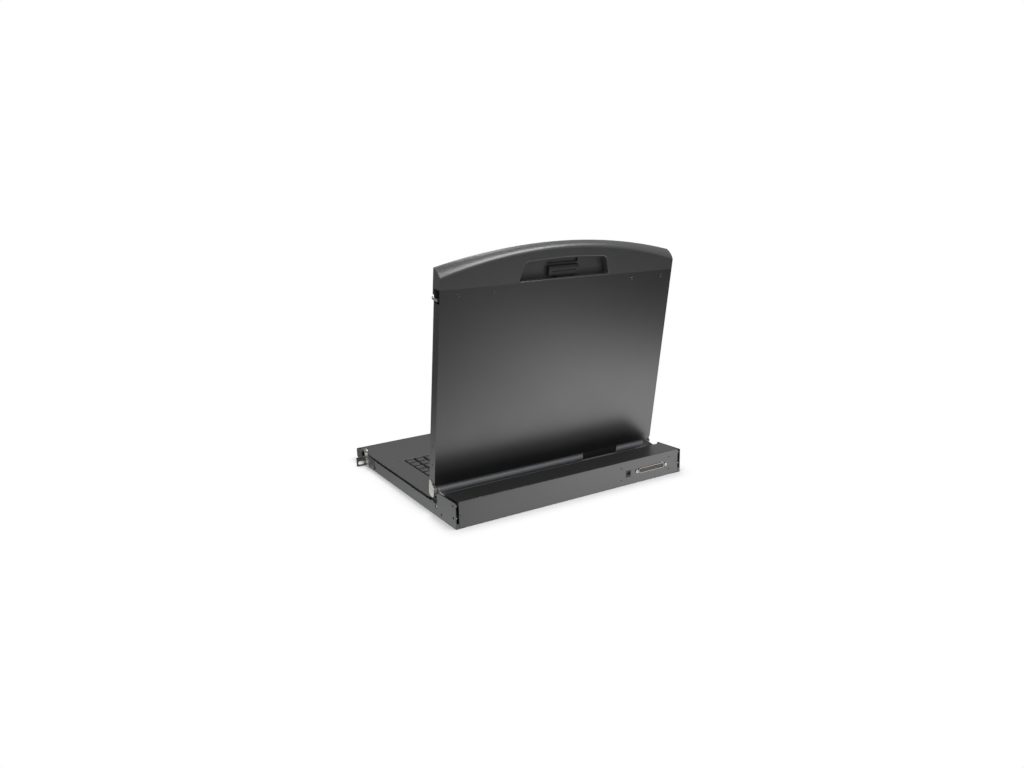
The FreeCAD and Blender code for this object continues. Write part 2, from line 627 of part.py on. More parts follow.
def jackscrews():
    """Hexagon jack screws, threaded for the plug's screws."""
    screws = []
    for side in (-1, 1):
        x = CONNECTOR_X + side * JACKSCREW_PITCH / 2
        hexagon = [(x + 2.75 * math.cos(math.radians(60 * i)),
                    CONNECTOR_Z + 2.75 * math.sin(math.radians(60 * i))) for i in range(6)]
        head = plate_y(hexagon, -JACKSCREW_LENGTH, 0)
        shank = rod_y(x, CONNECTOR_Z, 0, 5, 1.7)
        bore = rod_y(x, CONNECTOR_Z, -JACKSCREW_LENGTH - 1, 3.5, 1.2)
        screws.append(joined([head, shank]).cut(bore))
    return screws


def panel_rivets():
    """Low rivet heads of the rear panel, with the end screws."""
    places = [(-91.8, 31.6), (-92, 10.0), (-196.8, 32), (-197, 10.4), (214.2, 21), (-214.2, 21)]
    return [button_head(x, z, 1.7, 0.6) for x, z in places]


# ---- Lid -------------------------------------------------------------------------------------
def lid_back_cover():
    """Sheet metal pan: back, two side flanges and a bottom flange with cut corners."""
    side_end = 294.0
    back = lid_plate([(-LID_HALF, 3, 1), (-LID_HALF + 3, 0, 1), (LID_HALF - 3, 0, 1),
                      (LID_HALF, 3, 1), (LID_HALF, LID_SEAM), (-LID_HALF, LID_SEAM)],
                     0, LID_SHEET)
    side = lid_side_plate([(7, 0), (side_end, 0), (side_end, BEZEL_BACK), (3, BEZEL_BACK, 2),
                           (3, 4, 2)], LID_HALF - LID_SHEET, LID_HALF)
    foot = lid_block(-LID_HALF + 14, LID_HALF - 14, 0, LID_SHEET, 0, BEZEL_BACK)
    holes = [Part.makeCylinder(1.3, 3, V(LID_HALF - 2, l, 9), V(1, 0, 0)) for l in (34, 66)]
    seats = [lid_rod(x, LID_SCREW_L, -1, 2, 1.5) for x in LID_SCREW_X]
    sinks = [Part.makeCone(2.65, 1.5, 1.0, V(x, LID_SCREW_L, -0.45), V(0, 0, 1))
             for x in LID_SCREW_X]
    return joined([back, side, mirror(side), foot]).cut(holes + seats + sinks)


LID_SCREW_L = 305.6
LID_SCREW_X = (-196.5, -134.5, 128.5, 189.0)


def lid_screws():
    """Flush countersunk heads below the seam and at the hinge corners."""
    screws = []
    for x in LID_SCREW_X:
        head = Part.makeCone(2.6, 1.45, 1.0, V(x, LID_SCREW_L, -0.45), V(0, 0, 1))
        shank = lid_stud(x, LID_SCREW_L, 0.4, 4.4, 1.45)
        screws.append(joined([head, shank]).common(lid_block(x - 3, x + 3, 290, 320, -0.45, 4.4)))
    return screws


def crown_outline(b, inset=0.0):
    """Crown outline at a distance b from the back face: (half width, corner l, top l)."""
    share = b / LID_THICK
    half = LID_HALF + share * (CROWN_HALF - LID_HALF) - inset
    corner = CREST_CORNER + share * (CROWN_CORNER - CREST_CORNER) - inset
    top = CREST_TOP + share * (CROWN_TOP - CREST_TOP) - inset
    return half, corner, top


def crown_wire(b, foot, inset=0.0):
    """Closed outline: straight foot, upright ends and one long arc over the top."""
    half, corner, top = crown_outline(b, inset)
    corners = [V(-half, foot, b), V(half, foot, b), V(half, corner, b), V(-half, corner, b)]
    return Part.Wire([Part.LineSegment(corners[0], corners[1]).toShape(),
                      Part.LineSegment(corners[1], corners[2]).toShape(),
                      Part.Arc(corners[2], V(0, top, b), corners[3]).toShape(),
                      Part.LineSegment(corners[3], corners[0]).toShape()])


RECESS_DEPTH = 13.0
RECESS_WALL = 1.8
RECESS_LIP = 2.0              # strip of crown between the cover's edge and the recess


def recess_points(grow, foot):
    """Handle recess outline: leaning ends, rounded top corners and an arched top edge."""
    return [(-84.5 - grow, foot, 2), (84.5 + grow, foot, 2), (76 + grow, 346 + grow, 9 + grow),
            (0, 350.5 + grow, 600), (-76 - grow, 346 + grow, 9 + grow)]


def crown_bezel():
    """Moulded crown: hollow arched cap with a deep finger recess in its back."""
    back_edge_radius = 2.6
    shell = Part.makeLoft([crown_wire(0, LID_SEAM), crown_wire(BEZEL_BACK, LID_SEAM)], True, True)
    crest = [e for e in shell.Edges if e.BoundBox.ZMax < 0.01 and e.BoundBox.YMax > CREST_CORNER]
    shell = shell.makeFillet(back_edge_radius, crest)
    inside = Part.makeLoft([crown_wire(2.4, LID_SEAM - 3, 2.4),
                            crown_wire(BEZEL_BACK + 1, LID_SEAM - 3, 2.4)], True, True)
    foot = LID_SEAM + RECESS_LIP
    tub = lid_loft(recess_points(RECESS_WALL, foot - RECESS_WALL), 1.3,
                   recess_points(RECESS_WALL - 2, foot - RECESS_WALL + 0.4),
                   RECESS_DEPTH + RECESS_WALL)
    pocket = lid_loft(recess_points(0.3, foot), -0.5, recess_points(-2, foot + 0.4), RECESS_DEPTH)
    gate = lid_block(-14, 14, 314, 319, 7.6, 10.4)
    slot = lid_block(-SLIDER_HALF - 1, SLIDER_HALF + 1, 338.5, 344.5, RECESS_DEPTH - 1,
                     RECESS_DEPTH + RECESS_WALL + 1)
    ribs = [lid_block(x, x + 1.4, LID_SEAM, 338, 2.0, 9.5)
            for x in (-200, -170, -140, -110, 108, 138, 168, 198)]
    body = joined([shell.cut(inside), tub] + ribs)
    return body.cut([pocket, gate, slot])


def front_bezel():
    """Front moulding round the screen, one piece up to the crown's front face."""
    window_half, window_foot, window_top = 169.6, 15.6, 287.0
    step = 305.5
    wide = Part.makeLoft([crown_wire(BEZEL_BACK, step), crown_wire(LID_THICK, step)], True, True)
    lower = lid_block(-LID_HALF, LID_HALF, 0.6, step, BEZEL_BACK, LID_THICK)
    window = lid_loft(rectangle(-window_half, window_half, window_foot, window_top),
                      BEZEL_BACK - 0.01,
                      rectangle(-window_half - 2.6, window_half + 2.6, window_foot - 2.6,
                                window_top + 2.6), LID_THICK + 0.01)
    buttons = [lid_rod(x, OSD_L, BEZEL_BACK - 1, LID_THICK + 1, OSD_R + 0.35) for x in OSD_X]
    lamp = lid_rod(OSD_X[-1] + 14, OSD_L, BEZEL_BACK - 1, LID_THICK + 1, 1.4)
    return joined([wide, lower]).cut([window, lamp] + buttons)


def bumpers():
    """Soft round pads on the bezel that keep the closed lid off the deck."""
    return [lid_stud(x, l, LID_THICK, LID_THICK + 0.5, 4, 24) for x in (-208, 208) for l in (55, 277)]


OSD_L = 318.0
OSD_X = (112.0, 126.0, 140.0, 154.0, 168.0)
OSD_R = 3.2


def osd_buttons():
    """Five round menu buttons, one solid each, collared behind the bezel."""
    buttons = []
    for x in OSD_X:
        stem = lid_stud(x, OSD_L, BEZEL_BACK - 2.0, LID_THICK + 1.1, OSD_R, 24)
        rim = [e for e in stem.Edges if e.BoundBox.ZMin > LID_THICK + 1]
        collar = lid_stud(x, OSD_L, BEZEL_BACK - 2.0, BEZEL_BACK - 1.0, OSD_R + 1.2, 24)
        buttons.append(in_lid(joined([stem.makeChamfer(0.5, rim), collar])))
    return buttons


def osd_board():
    """Switch board behind the menu buttons, with its indicator lamp."""
    board = lid_block(100, 196, OSD_L - 7, OSD_L + 8, 10.0, 11.6)
    switches = [lid_block(x - 3, x + 3, OSD_L - 3, OSD_L + 3, 11.6, 13.0) for x in OSD_X]
    lamp = lid_stud(OSD_X[-1] + 14, OSD_L, 11.6, LID_THICK - 0.2, 1.1)
    return joined([board, lamp] + switches)


MODULE_HALF = 179.0
MODULE_L = (3.4, 293.4)


def lcd_module():
    """Screen module frame: shallow steel tray with folded mounting ears."""
    tray = lid_block(-MODULE_HALF, MODULE_HALF, MODULE_L[0], MODULE_L[1], 4.6, 14.4)
    inside = lid_block(-MODULE_HALF + 0.8, MODULE_HALF - 0.8, MODULE_L[0] + 0.8,
                       MODULE_L[1] - 0.8, 5.4, 15)
    ears = [lid_block(x0, x1, l, l + 16, 4.6, 6.0) for l in (40, 240)
            for x0, x1 in ((-MODULE_HALF - 9, -MODULE_HALF), (MODULE_HALF, MODULE_HALF + 9))]
    posts = [lid_stud(x, l + 8, LID_SHEET, 4.6, 3, 6) for l in (40, 240)
             for x in (-MODULE_HALF - 4.5, MODULE_HALF + 4.5)]
    return joined([tray.cut(inside)] + ears + posts)


def lcd_light_guide():
    """Acrylic backlight slab lying in the module's tray."""
    return lid_block(-MODULE_HALF + 1.1, MODULE_HALF - 1.1, MODULE_L[0] + 1.1,
                     MODULE_L[1] - 1.1, 5.4, 14.4)


def lcd_glass():
    return lid_block(-172, 172, 13.5, 289.5, 14.4, 15.9)


def panel_board():
    """Screen driver board behind the module, standing on the back cover."""
    board = lid_block(-150, -20, 60, 130, 2.4, 3.6)
    posts = [lid_stud(x, l, LID_SHEET, 2.4, 2.2, 6) for x in (-144, -26) for l in (66, 124)]
    return joined([board] + posts)


def hinge_arm():
    """Zinc lid leaf: disc round the pin, running up the outside of the lid's side."""
    x0, x1 = LID_HALF + 0.15, LID_HALF + 1.35
    outline = [(-11.0, -7.6, 7), (-11.0, 8.6, 7), (3, 9.6, 6), (16, 9.0, 2.5), (16, 3.4, 2.5),
               (4.5, -7.8, 4)]
    leaf = lid_side_plate([(HINGE_L + l, HINGE_B + b, r) for l, b, r in outline], x0, x1)
    spacer = lid_block(LID_HALF, x0 + 0.01, 3.4, 5.6, 11.0, 15.4)
    hole = Part.makeCylinder(PIN_R + 0.01, 4, V(x0 - 1, HINGE_L, HINGE_B), V(1, 0, 0))
    return joined([leaf, spacer]).cut(hole)


def hinge_pin():
    """Hinge pin pressed in the leaf, with a wide cap outside."""
    cap_face = LID_HALF + 1.35
    pin = Part.makeCylinder(PIN_R, cap_face - 210.5, V(210.5, HINGE_L, HINGE_B), V(1, 0, 0))
    cap = Part.makeCylinder(4.2, 0.25, V(cap_face, HINGE_L, HINGE_B), V(1, 0, 0))
    return joined([pin, cap])


def barrel_cover(x0, x1):
    """Curved cover behind the hinge line: part of a tube, hung from the lid's foot by a web."""
    axis_l, axis_b = HINGE_L - 0.5, HINGE_B + 0.3
    tube = Part.makeCylinder(BARREL_R, x1 - x0, V(x0, axis_l, axis_b), V(1, 0, 0))
    bore = Part.makeCylinder(BARREL_R - 1.4, x1 - x0 + 2, V(x0 - 1, axis_l, axis_b), V(1, 0, 0))
    front = lid_block(x0 - 1, x1 + 1, axis_l - 12, axis_l + 12, axis_b + 2.5, axis_b + 12)
    shell = tube.cut([bore, front])
    web = lid_block(x0, x1, axis_l + BARREL_R - 1.0, 0, 2.6, axis_b + 2.5)
    return joined([shell, web.cut(bore)])


SLIDER_HALF = 28.0
LATCH_L = (297.0, 301.0)
LATCH_TRAVEL = 2.0


def latch_bar():
    """Steel latch bar across the lid, its ends folded into the two side hooks."""
    reach = LID_HALF + 0.2
    l0, l1 = LATCH_L
    bar = lid_block(-reach, reach, l0, l1, 5.0, 6.2)
    hook = lid_side_plate([(l0, 5.0), (l0, 23.0, 1.2), (l1 + 0.8, 23.0, 0.8), (l1 + 0.8, 21.2, 0.4),
                           (l0 + 2.6, 20.6, 0.6), (l1, 16, 1), (l1, 5.0)], reach - 0.01, reach + 1.0)
    riser = lid_block(-12, 12, 309.5, 310.7, 5.0, 9.8)
    tip = lid_block(-12, 12, 309.5, 321.5, 8.4, 9.6)
    tongue = lid_block(-12, 12, l1, 310.7, 5.0, 6.2)
    return joined([bar, hook, mirror(hook), tongue, riser, tip])


def latch_slider():
    """Finger catch in the recess: a block with a sloping front and a gripping ledge."""
    body = lid_side_plate([(319.6, 12.4), (319.6, 7.4, 1), (332, 5.8, 1), (335.5, 8.2, 1.5),
                           (335.5, 12.4)], -SLIDER_HALF, SLIDER_HALF)
    slot = lid_block(-12.3, 12.3, 318, 324, 8.1, 9.9)
    lead = lid_side_plate([(325, 4), (330.5, 4), (329, 7.3, 0.6), (326.5, 7.6, 0.6)],
                          -SLIDER_HALF + 6, SLIDER_HALF - 6)
    return body.cut([slot, lead])


# ---- Nodes -----------------------------------------------------------------------------------
def all_nodes():
    nodes = {}
    for name, make in (("side_rail", side_rail), ("ear", ear), ("front_bracket", front_bracket),
                       ("slide_outer", slide_outer), ("slide_middle", slide_middle),
                       ("slide_inner", slide_inner), ("hinge_bracket", hinge_bracket)):
        right = make()
        nodes[name + "_right"] = [right]
        nodes[name + "_left"] = [mirror(right)]
    nodes["cross_strap_rear"] = [cross_strap(22, 52)]
    nodes["cross_strap_front"] = [cross_strap(300, 330)]
    nodes["ear_rivets"] = ear_rivets()
    nodes["rear_nuts"] = rear_nuts()

    for name, make in (("tray_pan", tray_pan), ("rear_panel", rear_panel),
                       ("box_cover", box_cover), ("keyboard_surround", keyboard_surround),
                       ("keyboard_base", keyboard_base), ("palm_rest", palm_rest),
                       ("front_fascia", front_fascia), ("touchpad", touchpad),
                       ("io_board", io_board), ("power_jack", power_jack),
                       ("connector_shell", connector_shell),
                       ("connector_insert", connector_insert)):
        nodes[name] = [make()]
    nodes["hinge_screws"] = hinge_screws()
    nodes["jackscrews"] = jackscrews()
    nodes["panel_rivets"] = panel_rivets()
    nodes["touchpad_button_left"] = [touchpad_button(-1)]
    nodes["touchpad_button_right"] = [touchpad_button(1)]
    for index, row in enumerate(ROW_NAMES):
        caps, bar = key_row(index)
        nodes["keys_" + row + "_row"] = caps
        if bar is not None:
            nodes["space_bar"] = [bar]

    for name, make in (("lid_back_cover", lid_back_cover), ("crown_bezel", crown_bezel),
                       ("front_bezel", front_bezel), ("lcd_module", lcd_module),
                       ("lcd_light_guide", lcd_light_guide), ("lcd_glass", lcd_glass),
                       ("panel_board", panel_board),
                       ("osd_board", osd_board), ("latch_bar", latch_bar),
                       ("latch_slider", latch_slider)):
        nodes[name] = [in_lid(make())]
    nodes["hinge_arm_right"] = [in_lid(hinge_arm())]
    nodes["hinge_arm_left"] = [in_lid(mirror(hinge_arm()))]
    nodes["hinge_pins"] = [in_lid(hinge_pin()), in_lid(mirror(hinge_pin()))]
    nodes["hinge_cover_long"] = [in_lid(barrel_cover(x0, x1)) for x0, x1 in
                                 ((-69, 211.6), (214.0, LID_HALF + 0.15))]
    nodes["hinge_cover_short"] = [in_lid(barrel_cover(-205, -143))]
    nodes["lid_screws"] = [in_lid(s) for s in lid_screws()]
    nodes["osd_buttons"] = osd_buttons()
    nodes["deck_bumpers"] = [in_lid(b) for b in bumpers()]
    return nodes


def export(name, solids):
    """Write one node, after checking that it is made of sound separate solids."""
    shape = solids[0] if len(solids) == 1 else Part.makeCompound(solids)
    if not shape.isValid() or len(shape.Solids) != len(solids):
        raise ValueError("%s: %d solids, %d wanted, valid %s"
                         % (name, len(shape.Solids), len(solids), shape.isValid()))
    shape.exportStep("parts/%s.step" % name)
    return shape.BoundBox


overall = FreeCAD.BoundBox()
for node, node_solids in sorted(all_nodes().items()):
    overall.add(export(node, node_solids))
print("overall box", [round(v, 2) for v in (overall.XMin, overall.XMax, overall.YMin, overall.YMax,
                                            overall.ZMin, overall.ZMax)])
print("hinge axis depth and height", [round(v, 3) for v in hinge_axis()])
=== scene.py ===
"""Rack console drawer: finishes, moulded and pressed detail, small hardware and a studio stage.

Everything is in metres, in the drawer's own frame: X to the user's right, +Y to the back of the
rack, +Z up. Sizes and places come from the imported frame, so the dressing follows the parts.
"""

import json
import math

import bmesh
import bpy
from mathutils import Matrix, Vector

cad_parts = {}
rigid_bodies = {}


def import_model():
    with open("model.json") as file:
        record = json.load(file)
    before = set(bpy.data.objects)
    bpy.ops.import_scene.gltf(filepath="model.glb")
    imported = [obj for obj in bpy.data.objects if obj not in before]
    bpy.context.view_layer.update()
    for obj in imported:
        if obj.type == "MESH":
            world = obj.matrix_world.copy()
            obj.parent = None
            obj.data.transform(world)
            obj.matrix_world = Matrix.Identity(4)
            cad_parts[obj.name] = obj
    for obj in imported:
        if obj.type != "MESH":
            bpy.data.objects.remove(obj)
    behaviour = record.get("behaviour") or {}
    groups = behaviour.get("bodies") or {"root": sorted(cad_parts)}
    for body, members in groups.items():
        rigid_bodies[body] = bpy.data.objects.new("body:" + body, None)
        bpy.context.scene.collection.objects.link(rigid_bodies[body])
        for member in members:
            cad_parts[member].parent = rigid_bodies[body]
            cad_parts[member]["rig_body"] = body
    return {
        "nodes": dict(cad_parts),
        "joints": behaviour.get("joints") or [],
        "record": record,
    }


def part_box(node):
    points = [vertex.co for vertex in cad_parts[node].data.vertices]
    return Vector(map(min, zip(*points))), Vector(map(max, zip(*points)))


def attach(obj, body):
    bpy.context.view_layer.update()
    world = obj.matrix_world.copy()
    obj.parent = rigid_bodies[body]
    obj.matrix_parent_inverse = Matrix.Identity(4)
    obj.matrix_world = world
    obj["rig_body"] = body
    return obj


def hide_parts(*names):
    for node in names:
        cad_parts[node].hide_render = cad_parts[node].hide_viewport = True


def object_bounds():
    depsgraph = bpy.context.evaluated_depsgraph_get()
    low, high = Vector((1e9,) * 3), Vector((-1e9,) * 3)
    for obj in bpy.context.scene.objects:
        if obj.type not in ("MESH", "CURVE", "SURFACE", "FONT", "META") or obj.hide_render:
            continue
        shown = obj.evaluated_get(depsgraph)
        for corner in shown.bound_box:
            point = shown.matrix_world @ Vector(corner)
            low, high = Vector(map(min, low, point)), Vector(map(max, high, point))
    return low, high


bl_info = {
    "name": "Rack Console Drawer",
    "version": (1, 0, 0),
    "blender": (4, 5, 0),
    "location": "3D View > Sidebar > Console Drawer",
    "description": "Dresses a 1U rack console drawer: finishes, keys, hardware and stage",
    "category": "Object",
}

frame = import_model()
CAD_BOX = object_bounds()
MM = 0.001
RIGHT, BACK, UP = Vector((1, 0, 0)), Vector((0, 1, 0)), Vector((0, 0, 1))


# ---- Places worked out from the frame ----
def joint(name):
    return next(j for j in frame["joints"] if j["name"] == name)


REAR_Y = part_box("rear_panel")[1].y                          # outer face of the rear panel
HINGE = Vector(joint("lid_hinge")["pos_m"])
LID_UP = Vector(joint("latch_slide")["axis"]).normalized()  # from the hinge to the crown
LID_OUT = RIGHT.cross(LID_UP).normalized()                  # from the lid's back to its screen
LID_FOOT = 9.82 * MM                  # how far the lid's foot is up from the hinge axis
LID_BACK = -7.0 * MM                  # how far the lid's back is out from the hinge axis
CREST_FOOT = 330 * MM                 # the crown's arched top lies above this
CREST_FILLET = 2.6 * MM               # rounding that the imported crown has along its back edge
RECESS_HALF = 92 * MM                 # reach of the handle recess to each side, walls included
RECESS_FOOT, RECESS_TOP = 316 * MM, 356 * MM    # its reach up the lid
SAME_PLACE = 1e-6                     # points of a mesh nearer than this are one
ROUND_ANGLE = math.radians(32)        # edges sharper than this are rounded


def in_lid(x, up, out):
    """A point from its place across, up from the lid's foot and out from its back."""
    return Vector((x, HINGE.y, HINGE.z)) + (up + LID_FOOT) * LID_UP + (out + LID_BACK) * LID_OUT


def lid_place(point):
    """How far a point is up from the lid's foot and out from its back."""
    arm = point - HINGE
    return arm.dot(LID_UP) - LID_FOOT, arm.dot(LID_OUT) - LID_BACK


def pairs(*names):
    """The left and the right node of each name."""
    return [name + side for name in names for side in ("_left", "_right")]


# ---- Settings ----
def colour(name, text, value):
    return bpy.props.FloatVectorProperty(name=name, description=text, default=value, size=3,
                                         subtype="COLOR", min=0.0, max=1.0)


def number(name, text, value, **kind):
    return bpy.props.FloatProperty(name=name, description=text, default=value, min=0.0, **kind)


def length(name, text, value):
    return number(name, text, value, subtype="DISTANCE", unit="LENGTH")


def share(name, text, value):
    return number(name, text, value, max=1.0, subtype="FACTOR")


def power(name, text, value):
    return number(name, text, value, unit="POWER")


class FinishSettings(bpy.types.PropertyGroup):
    """Colours of the drawer's paints, plastics and metals."""

    paint: colour("Sheet paint", "Fine-texture charcoal paint of the sheet metal",
                  (0.0115, 0.012, 0.0128))
    crown: colour("Crown plastic", "Satin moulding of the lid's crown and bezel",
                  (0.031, 0.032, 0.034))
    deck: colour("Deck plastic", "Grained moulding of the deck and front bar",
                 (0.030, 0.030, 0.0305))
    keys: colour("Key plastic", "Moulded key caps", (0.020, 0.020, 0.022))
    zinc: colour("Zinc", "Bright zinc plate of brackets and slides", (0.60, 0.59, 0.565))
    nickel: colour("Nickel", "Bright plate of connector and posts", (0.62, 0.61, 0.59))
    grain: length("Grain", "Distance between the dimples of the paint texture", 0.9 * MM)


class DetailSettings(bpy.types.PropertyGroup):
    """Sizes of the rounded edges and the small hardware."""

    sheet_edge: length("Sheet edge", "Rounding of folded and cut sheet edges", 0.25 * MM)
    plastic_edge: length("Plastic edge", "Rounding of moulded edges", 0.45 * MM)
    key_edge: length("Key edge", "Rounding round the top of a key", 0.75 * MM)
    key_dish: length("Key dish", "Depth of the dish in a key's top", 0.35 * MM)
    mouth_edge: length("Recess lips", "Rounding round the mouth of the handle recess", 1.3 * MM)
    crest_reach: length("Crest reach", "How far the crown's rounded crest runs forward", 16.0 * MM)
    crest_drop: length("Crest drop", "How far the crest falls towards the back", 8.5 * MM)
    screw_radius: length("Screw head", "Radius of the lid's low screws", 2.5 * MM)
    rivet_radius: length("Rivet head", "Radius of the rear panel's rivets", 1.7 * MM)
    lip_sheet: length("Lip sheet", "Thickness of the lip at the lid's foot", 1.0 * MM)
    lip_drop: length("Lip drop", "How far the lip hangs below the lid's foot", 14.2 * MM)
    ball_radius: length("Slide ball", "Radius of the balls in the telescopic slides", 0.55 * MM)


class StageSettings(bpy.types.PropertyGroup):
    """Light and floor."""

    key_power: power("Key light", "Power of the key light", 16.0)
    fill_power: power("Fill light", "Power of the fill light", 9.0)
    rim_power: power("Rim light", "Power of the light along the crown", 9.5)
    ambient: share("Ambient", "Brightness of the room round the object", 0.55)
    floor: share("Floor", "Paleness of the floor", 0.85)


# ---- Shader maths ----
class Wire:
    """A node socket that can be added, multiplied and so on in Python expressions."""

    def __init__(self, tree, socket):
        self.tree = tree
        self.socket = socket

    def maths(self, operation, *values, clamp=False):
        """This wire first, then the values, through one Math node."""
        return self.chain(operation, (self, *values), clamp)

    def chain(self, operation, values, clamp=False):
        """The values in that order, through one Math node."""
        node = self.tree.nodes.new("ShaderNodeMath")
        node.operation = operation
        node.use_clamp = clamp
        for slot, value in zip(node.inputs, values):
            if isinstance(value, Wire):
                self.tree.links.new(value.socket, slot)
            else:
                slot.default_value = value
        return Wire(self.tree, node.outputs[0])

    def __add__(self, other):
        return self.maths("ADD", other)

    def __sub__(self, other):
        return self.maths("SUBTRACT", other)

    def __rsub__(self, other):
        return self.chain("SUBTRACT", (other, self))

    def __mul__(self, other):
        return self.maths("MULTIPLY", other)

    def __truediv__(self, other):
        return self.maths("DIVIDE", other)

    def __rtruediv__(self, other):
        return self.chain("DIVIDE", (other, self))

    __radd__, __rmul__ = __add__, __mul__

    def size(self):
        return self.maths("ABSOLUTE")

    def clamp(self):
        return self.maths("ADD", 0.0, clamp=True)

    def above(self, edge, width):
        """0 below the edge, 1 above it, with a soft step of that width."""
        return ((self - edge) / width + 0.5).clamp()


class Graph:
    """A node tree under construction."""

    def __init__(self, tree):
        self.tree = tree

    def node(self, kind, settings=None, **values):
        """Any node: its settings first, then its sockets, named with _ for a space."""
        node = self.tree.nodes.new(kind)
        for key, value in (settings or {}).items():
            setattr(node, key, value)
        for key, value in values.items():
            self.plug(node.inputs[key.replace("_", " ")], value)
        return node

    def plug(self, socket, value):
        """Links a wire, a socket or a node to the socket, or sets the socket's own value."""
        if isinstance(value, Wire):
            value = value.socket
        elif isinstance(value, bpy.types.Node):
            value = value.outputs[0]
        if isinstance(value, bpy.types.NodeSocket):
            self.tree.links.new(value, socket)
        elif socket.type == "RGBA":
            socket.default_value = (*value, 1.0)
        else:
            socket.default_value = value

    def wire(self, node, output=0):
        return Wire(self.tree, node.outputs[output])

    def split(self, vector):
        """X, Y and Z of a vector."""
        parts = self.node("ShaderNodeSeparateXYZ", Vector=vector)
        return [self.wire(parts, i) for i in range(3)]

    def rays(self):
        """Masks of the rays that see the background, and of the rays off glossy surfaces."""
        path = self.node("ShaderNodeLightPath")
        seen = self.wire(path, "Is Camera Ray").maths("MAXIMUM",
                                                      self.wire(path, "Is Transmission Ray"))
        return seen, self.wire(path, "Is Glossy Ray")


class Finish(Graph):
    """A material under construction."""

    def __init__(self, name):
        self.material = bpy.data.materials.new(name)
        self.material.use_nodes = True
        super().__init__(self.material.node_tree)
        self.shader = self.tree.nodes["Principled BSDF"]

    def position(self, stretch=(1.0, 1.0, 1.0)):
        """The point's place on the object, with its axes stretched."""
        place = self.node("ShaderNodeTexCoord").outputs["Object"]
        return self.node("ShaderNodeMapping", Vector=place, Scale=stretch).outputs["Vector"]

    def axes(self):
        """X, Y and Z of the point."""
        return self.split(self.position())

    def noise(self, size, detail=2.0, rough=0.5, stretch=(1.0, 1.0, 1.0)):
        """Noise of 0 to 1 whose blotches are about that many metres across."""
        node = self.node("ShaderNodeTexNoise", Vector=self.position(stretch), Scale=1.0 / size,
                         Detail=detail, Roughness=rough)
        return self.wire(node)

    def mix(self, factor, first, second):
        """Colour between two colours."""
        node = self.node("ShaderNodeMix", {"data_type": "RGBA"}, Factor=factor, A=first, B=second)
        return node.outputs[2]

    def bump(self, height, distance, strength):
        node = self.node("ShaderNodeBump", Height=height, Distance=distance, Strength=strength)
        return node.outputs["Normal"]

    def set(self, **values):
        """Sets the shader's sockets and hands back the finished material."""
        for key, value in values.items():
            self.plug(self.shader.inputs[key.replace("_", " ")], value)
        return self.material


def shade(tone, factor):
    """The same colour, paler or darker."""
    return tuple(min(1.0, c * factor) for c in tone)


# ---- Finishes ----
def dust_and_rubs(finish, tone, dust, rubbed=0.80):
    """Slow clouds from a rubbed tone to a fuller one, with pale specks of dust."""
    clouds = finish.noise(45 * MM, 3.0)
    specks = finish.noise(0.7 * MM, 1.0)
    tinted = finish.mix((clouds - 0.3).clamp(), shade(tone, rubbed), shade(tone, 1.12))
    return finish.mix(specks.above(0.66, 0.06) * dust, tinted, shade(tone, 2.6))


def sheet_paint(settings):
    """Powder coat: fine orange-peel texture, satin gloss, slightly polished where handled."""
    finish = Finish("charcoal_powder_coat")
    peel = finish.noise(settings.grain, 2.0, 0.6)
    fine = finish.noise(settings.grain * 0.3, 1.0)
    hands = finish.noise(60 * MM, 3.0)
    normal = finish.bump(peel * 0.7 + fine * 0.3, 0.035 * MM, 0.55)
    return finish.set(Base_Color=dust_and_rubs(finish, settings.paint, 0.10),
                      Roughness=0.26 + hands * 0.08 + fine * 0.04,
                      Normal=normal, IOR=2.0)


def rail_paint_painted_light(settings):
    """The sheet paint on the rails, made paler as painted light, with real scuffs, and darker along
    the lower fold as painted shade.
    """
    finish = Finish("rail_powder_coat")
    # Painted light: a 4.2 times paler copy of the sheet paint stands in for the light on the rails.
    tone = shade(settings.paint, 4.2)
    z = finish.axes()[2]
    peel = finish.noise(settings.grain, 2.0, 0.6)
    drawn = finish.noise(5 * MM, 2.0, stretch=(1.0, 0.05, 1.0))
    scuffs = finish.noise(9 * MM, 3.0, stretch=(1.0, 0.25, 1.0)).above(0.62, 0.08)
    # Painted shade: darker along the lower fold, next to the floor.
    fold_painted_shade = 1 - z.above(2.2 * MM, 1.2 * MM)
    base = finish.mix(drawn * 0.6, shade(tone, 0.85), shade(tone, 1.18))
    base = finish.mix((scuffs * 0.25 + fold_painted_shade * 0.30).clamp(), base, shade(tone, 0.45))
    return finish.set(Base_Color=base, Roughness=0.38 + drawn * 0.12,
                      Normal=finish.bump(peel, 0.03 * MM, 0.5), IOR=1.75)


def crown_plastic(settings):
    """Satin moulding with a very fine spark-eroded grain."""
    finish = Finish("satin_crown_plastic")
    grain = finish.noise(0.35 * MM, 1.0)
    sink = finish.noise(30 * MM, 2.0)
    return finish.set(Base_Color=dust_and_rubs(finish, settings.crown, 0.06, 0.9),
                      Roughness=0.33 + grain * 0.07 + sink * 0.04,
                      Normal=finish.bump(grain, 0.012 * MM, 0.5), IOR=1.9)


def deck_plastic(settings):
    """Coarser pitted grain of the deck, palm rest and front bar."""
    finish = Finish("grained_deck_plastic")
    cells = finish.node("ShaderNodeTexVoronoi", Vector=finish.position(), Scale=1.0 / (0.8 * MM))
    pits = finish.wire(cells)
    grain = finish.noise(0.5 * MM, 2.0)
    palms = finish.noise(50 * MM, 3.0)
    return finish.set(Base_Color=dust_and_rubs(finish, settings.deck, 0.12, 0.92),
                      Roughness=0.38 + palms * 0.08,
                      Normal=finish.bump(pits * 0.6 + grain * 0.4, 0.04 * MM, 0.5), IOR=1.5)


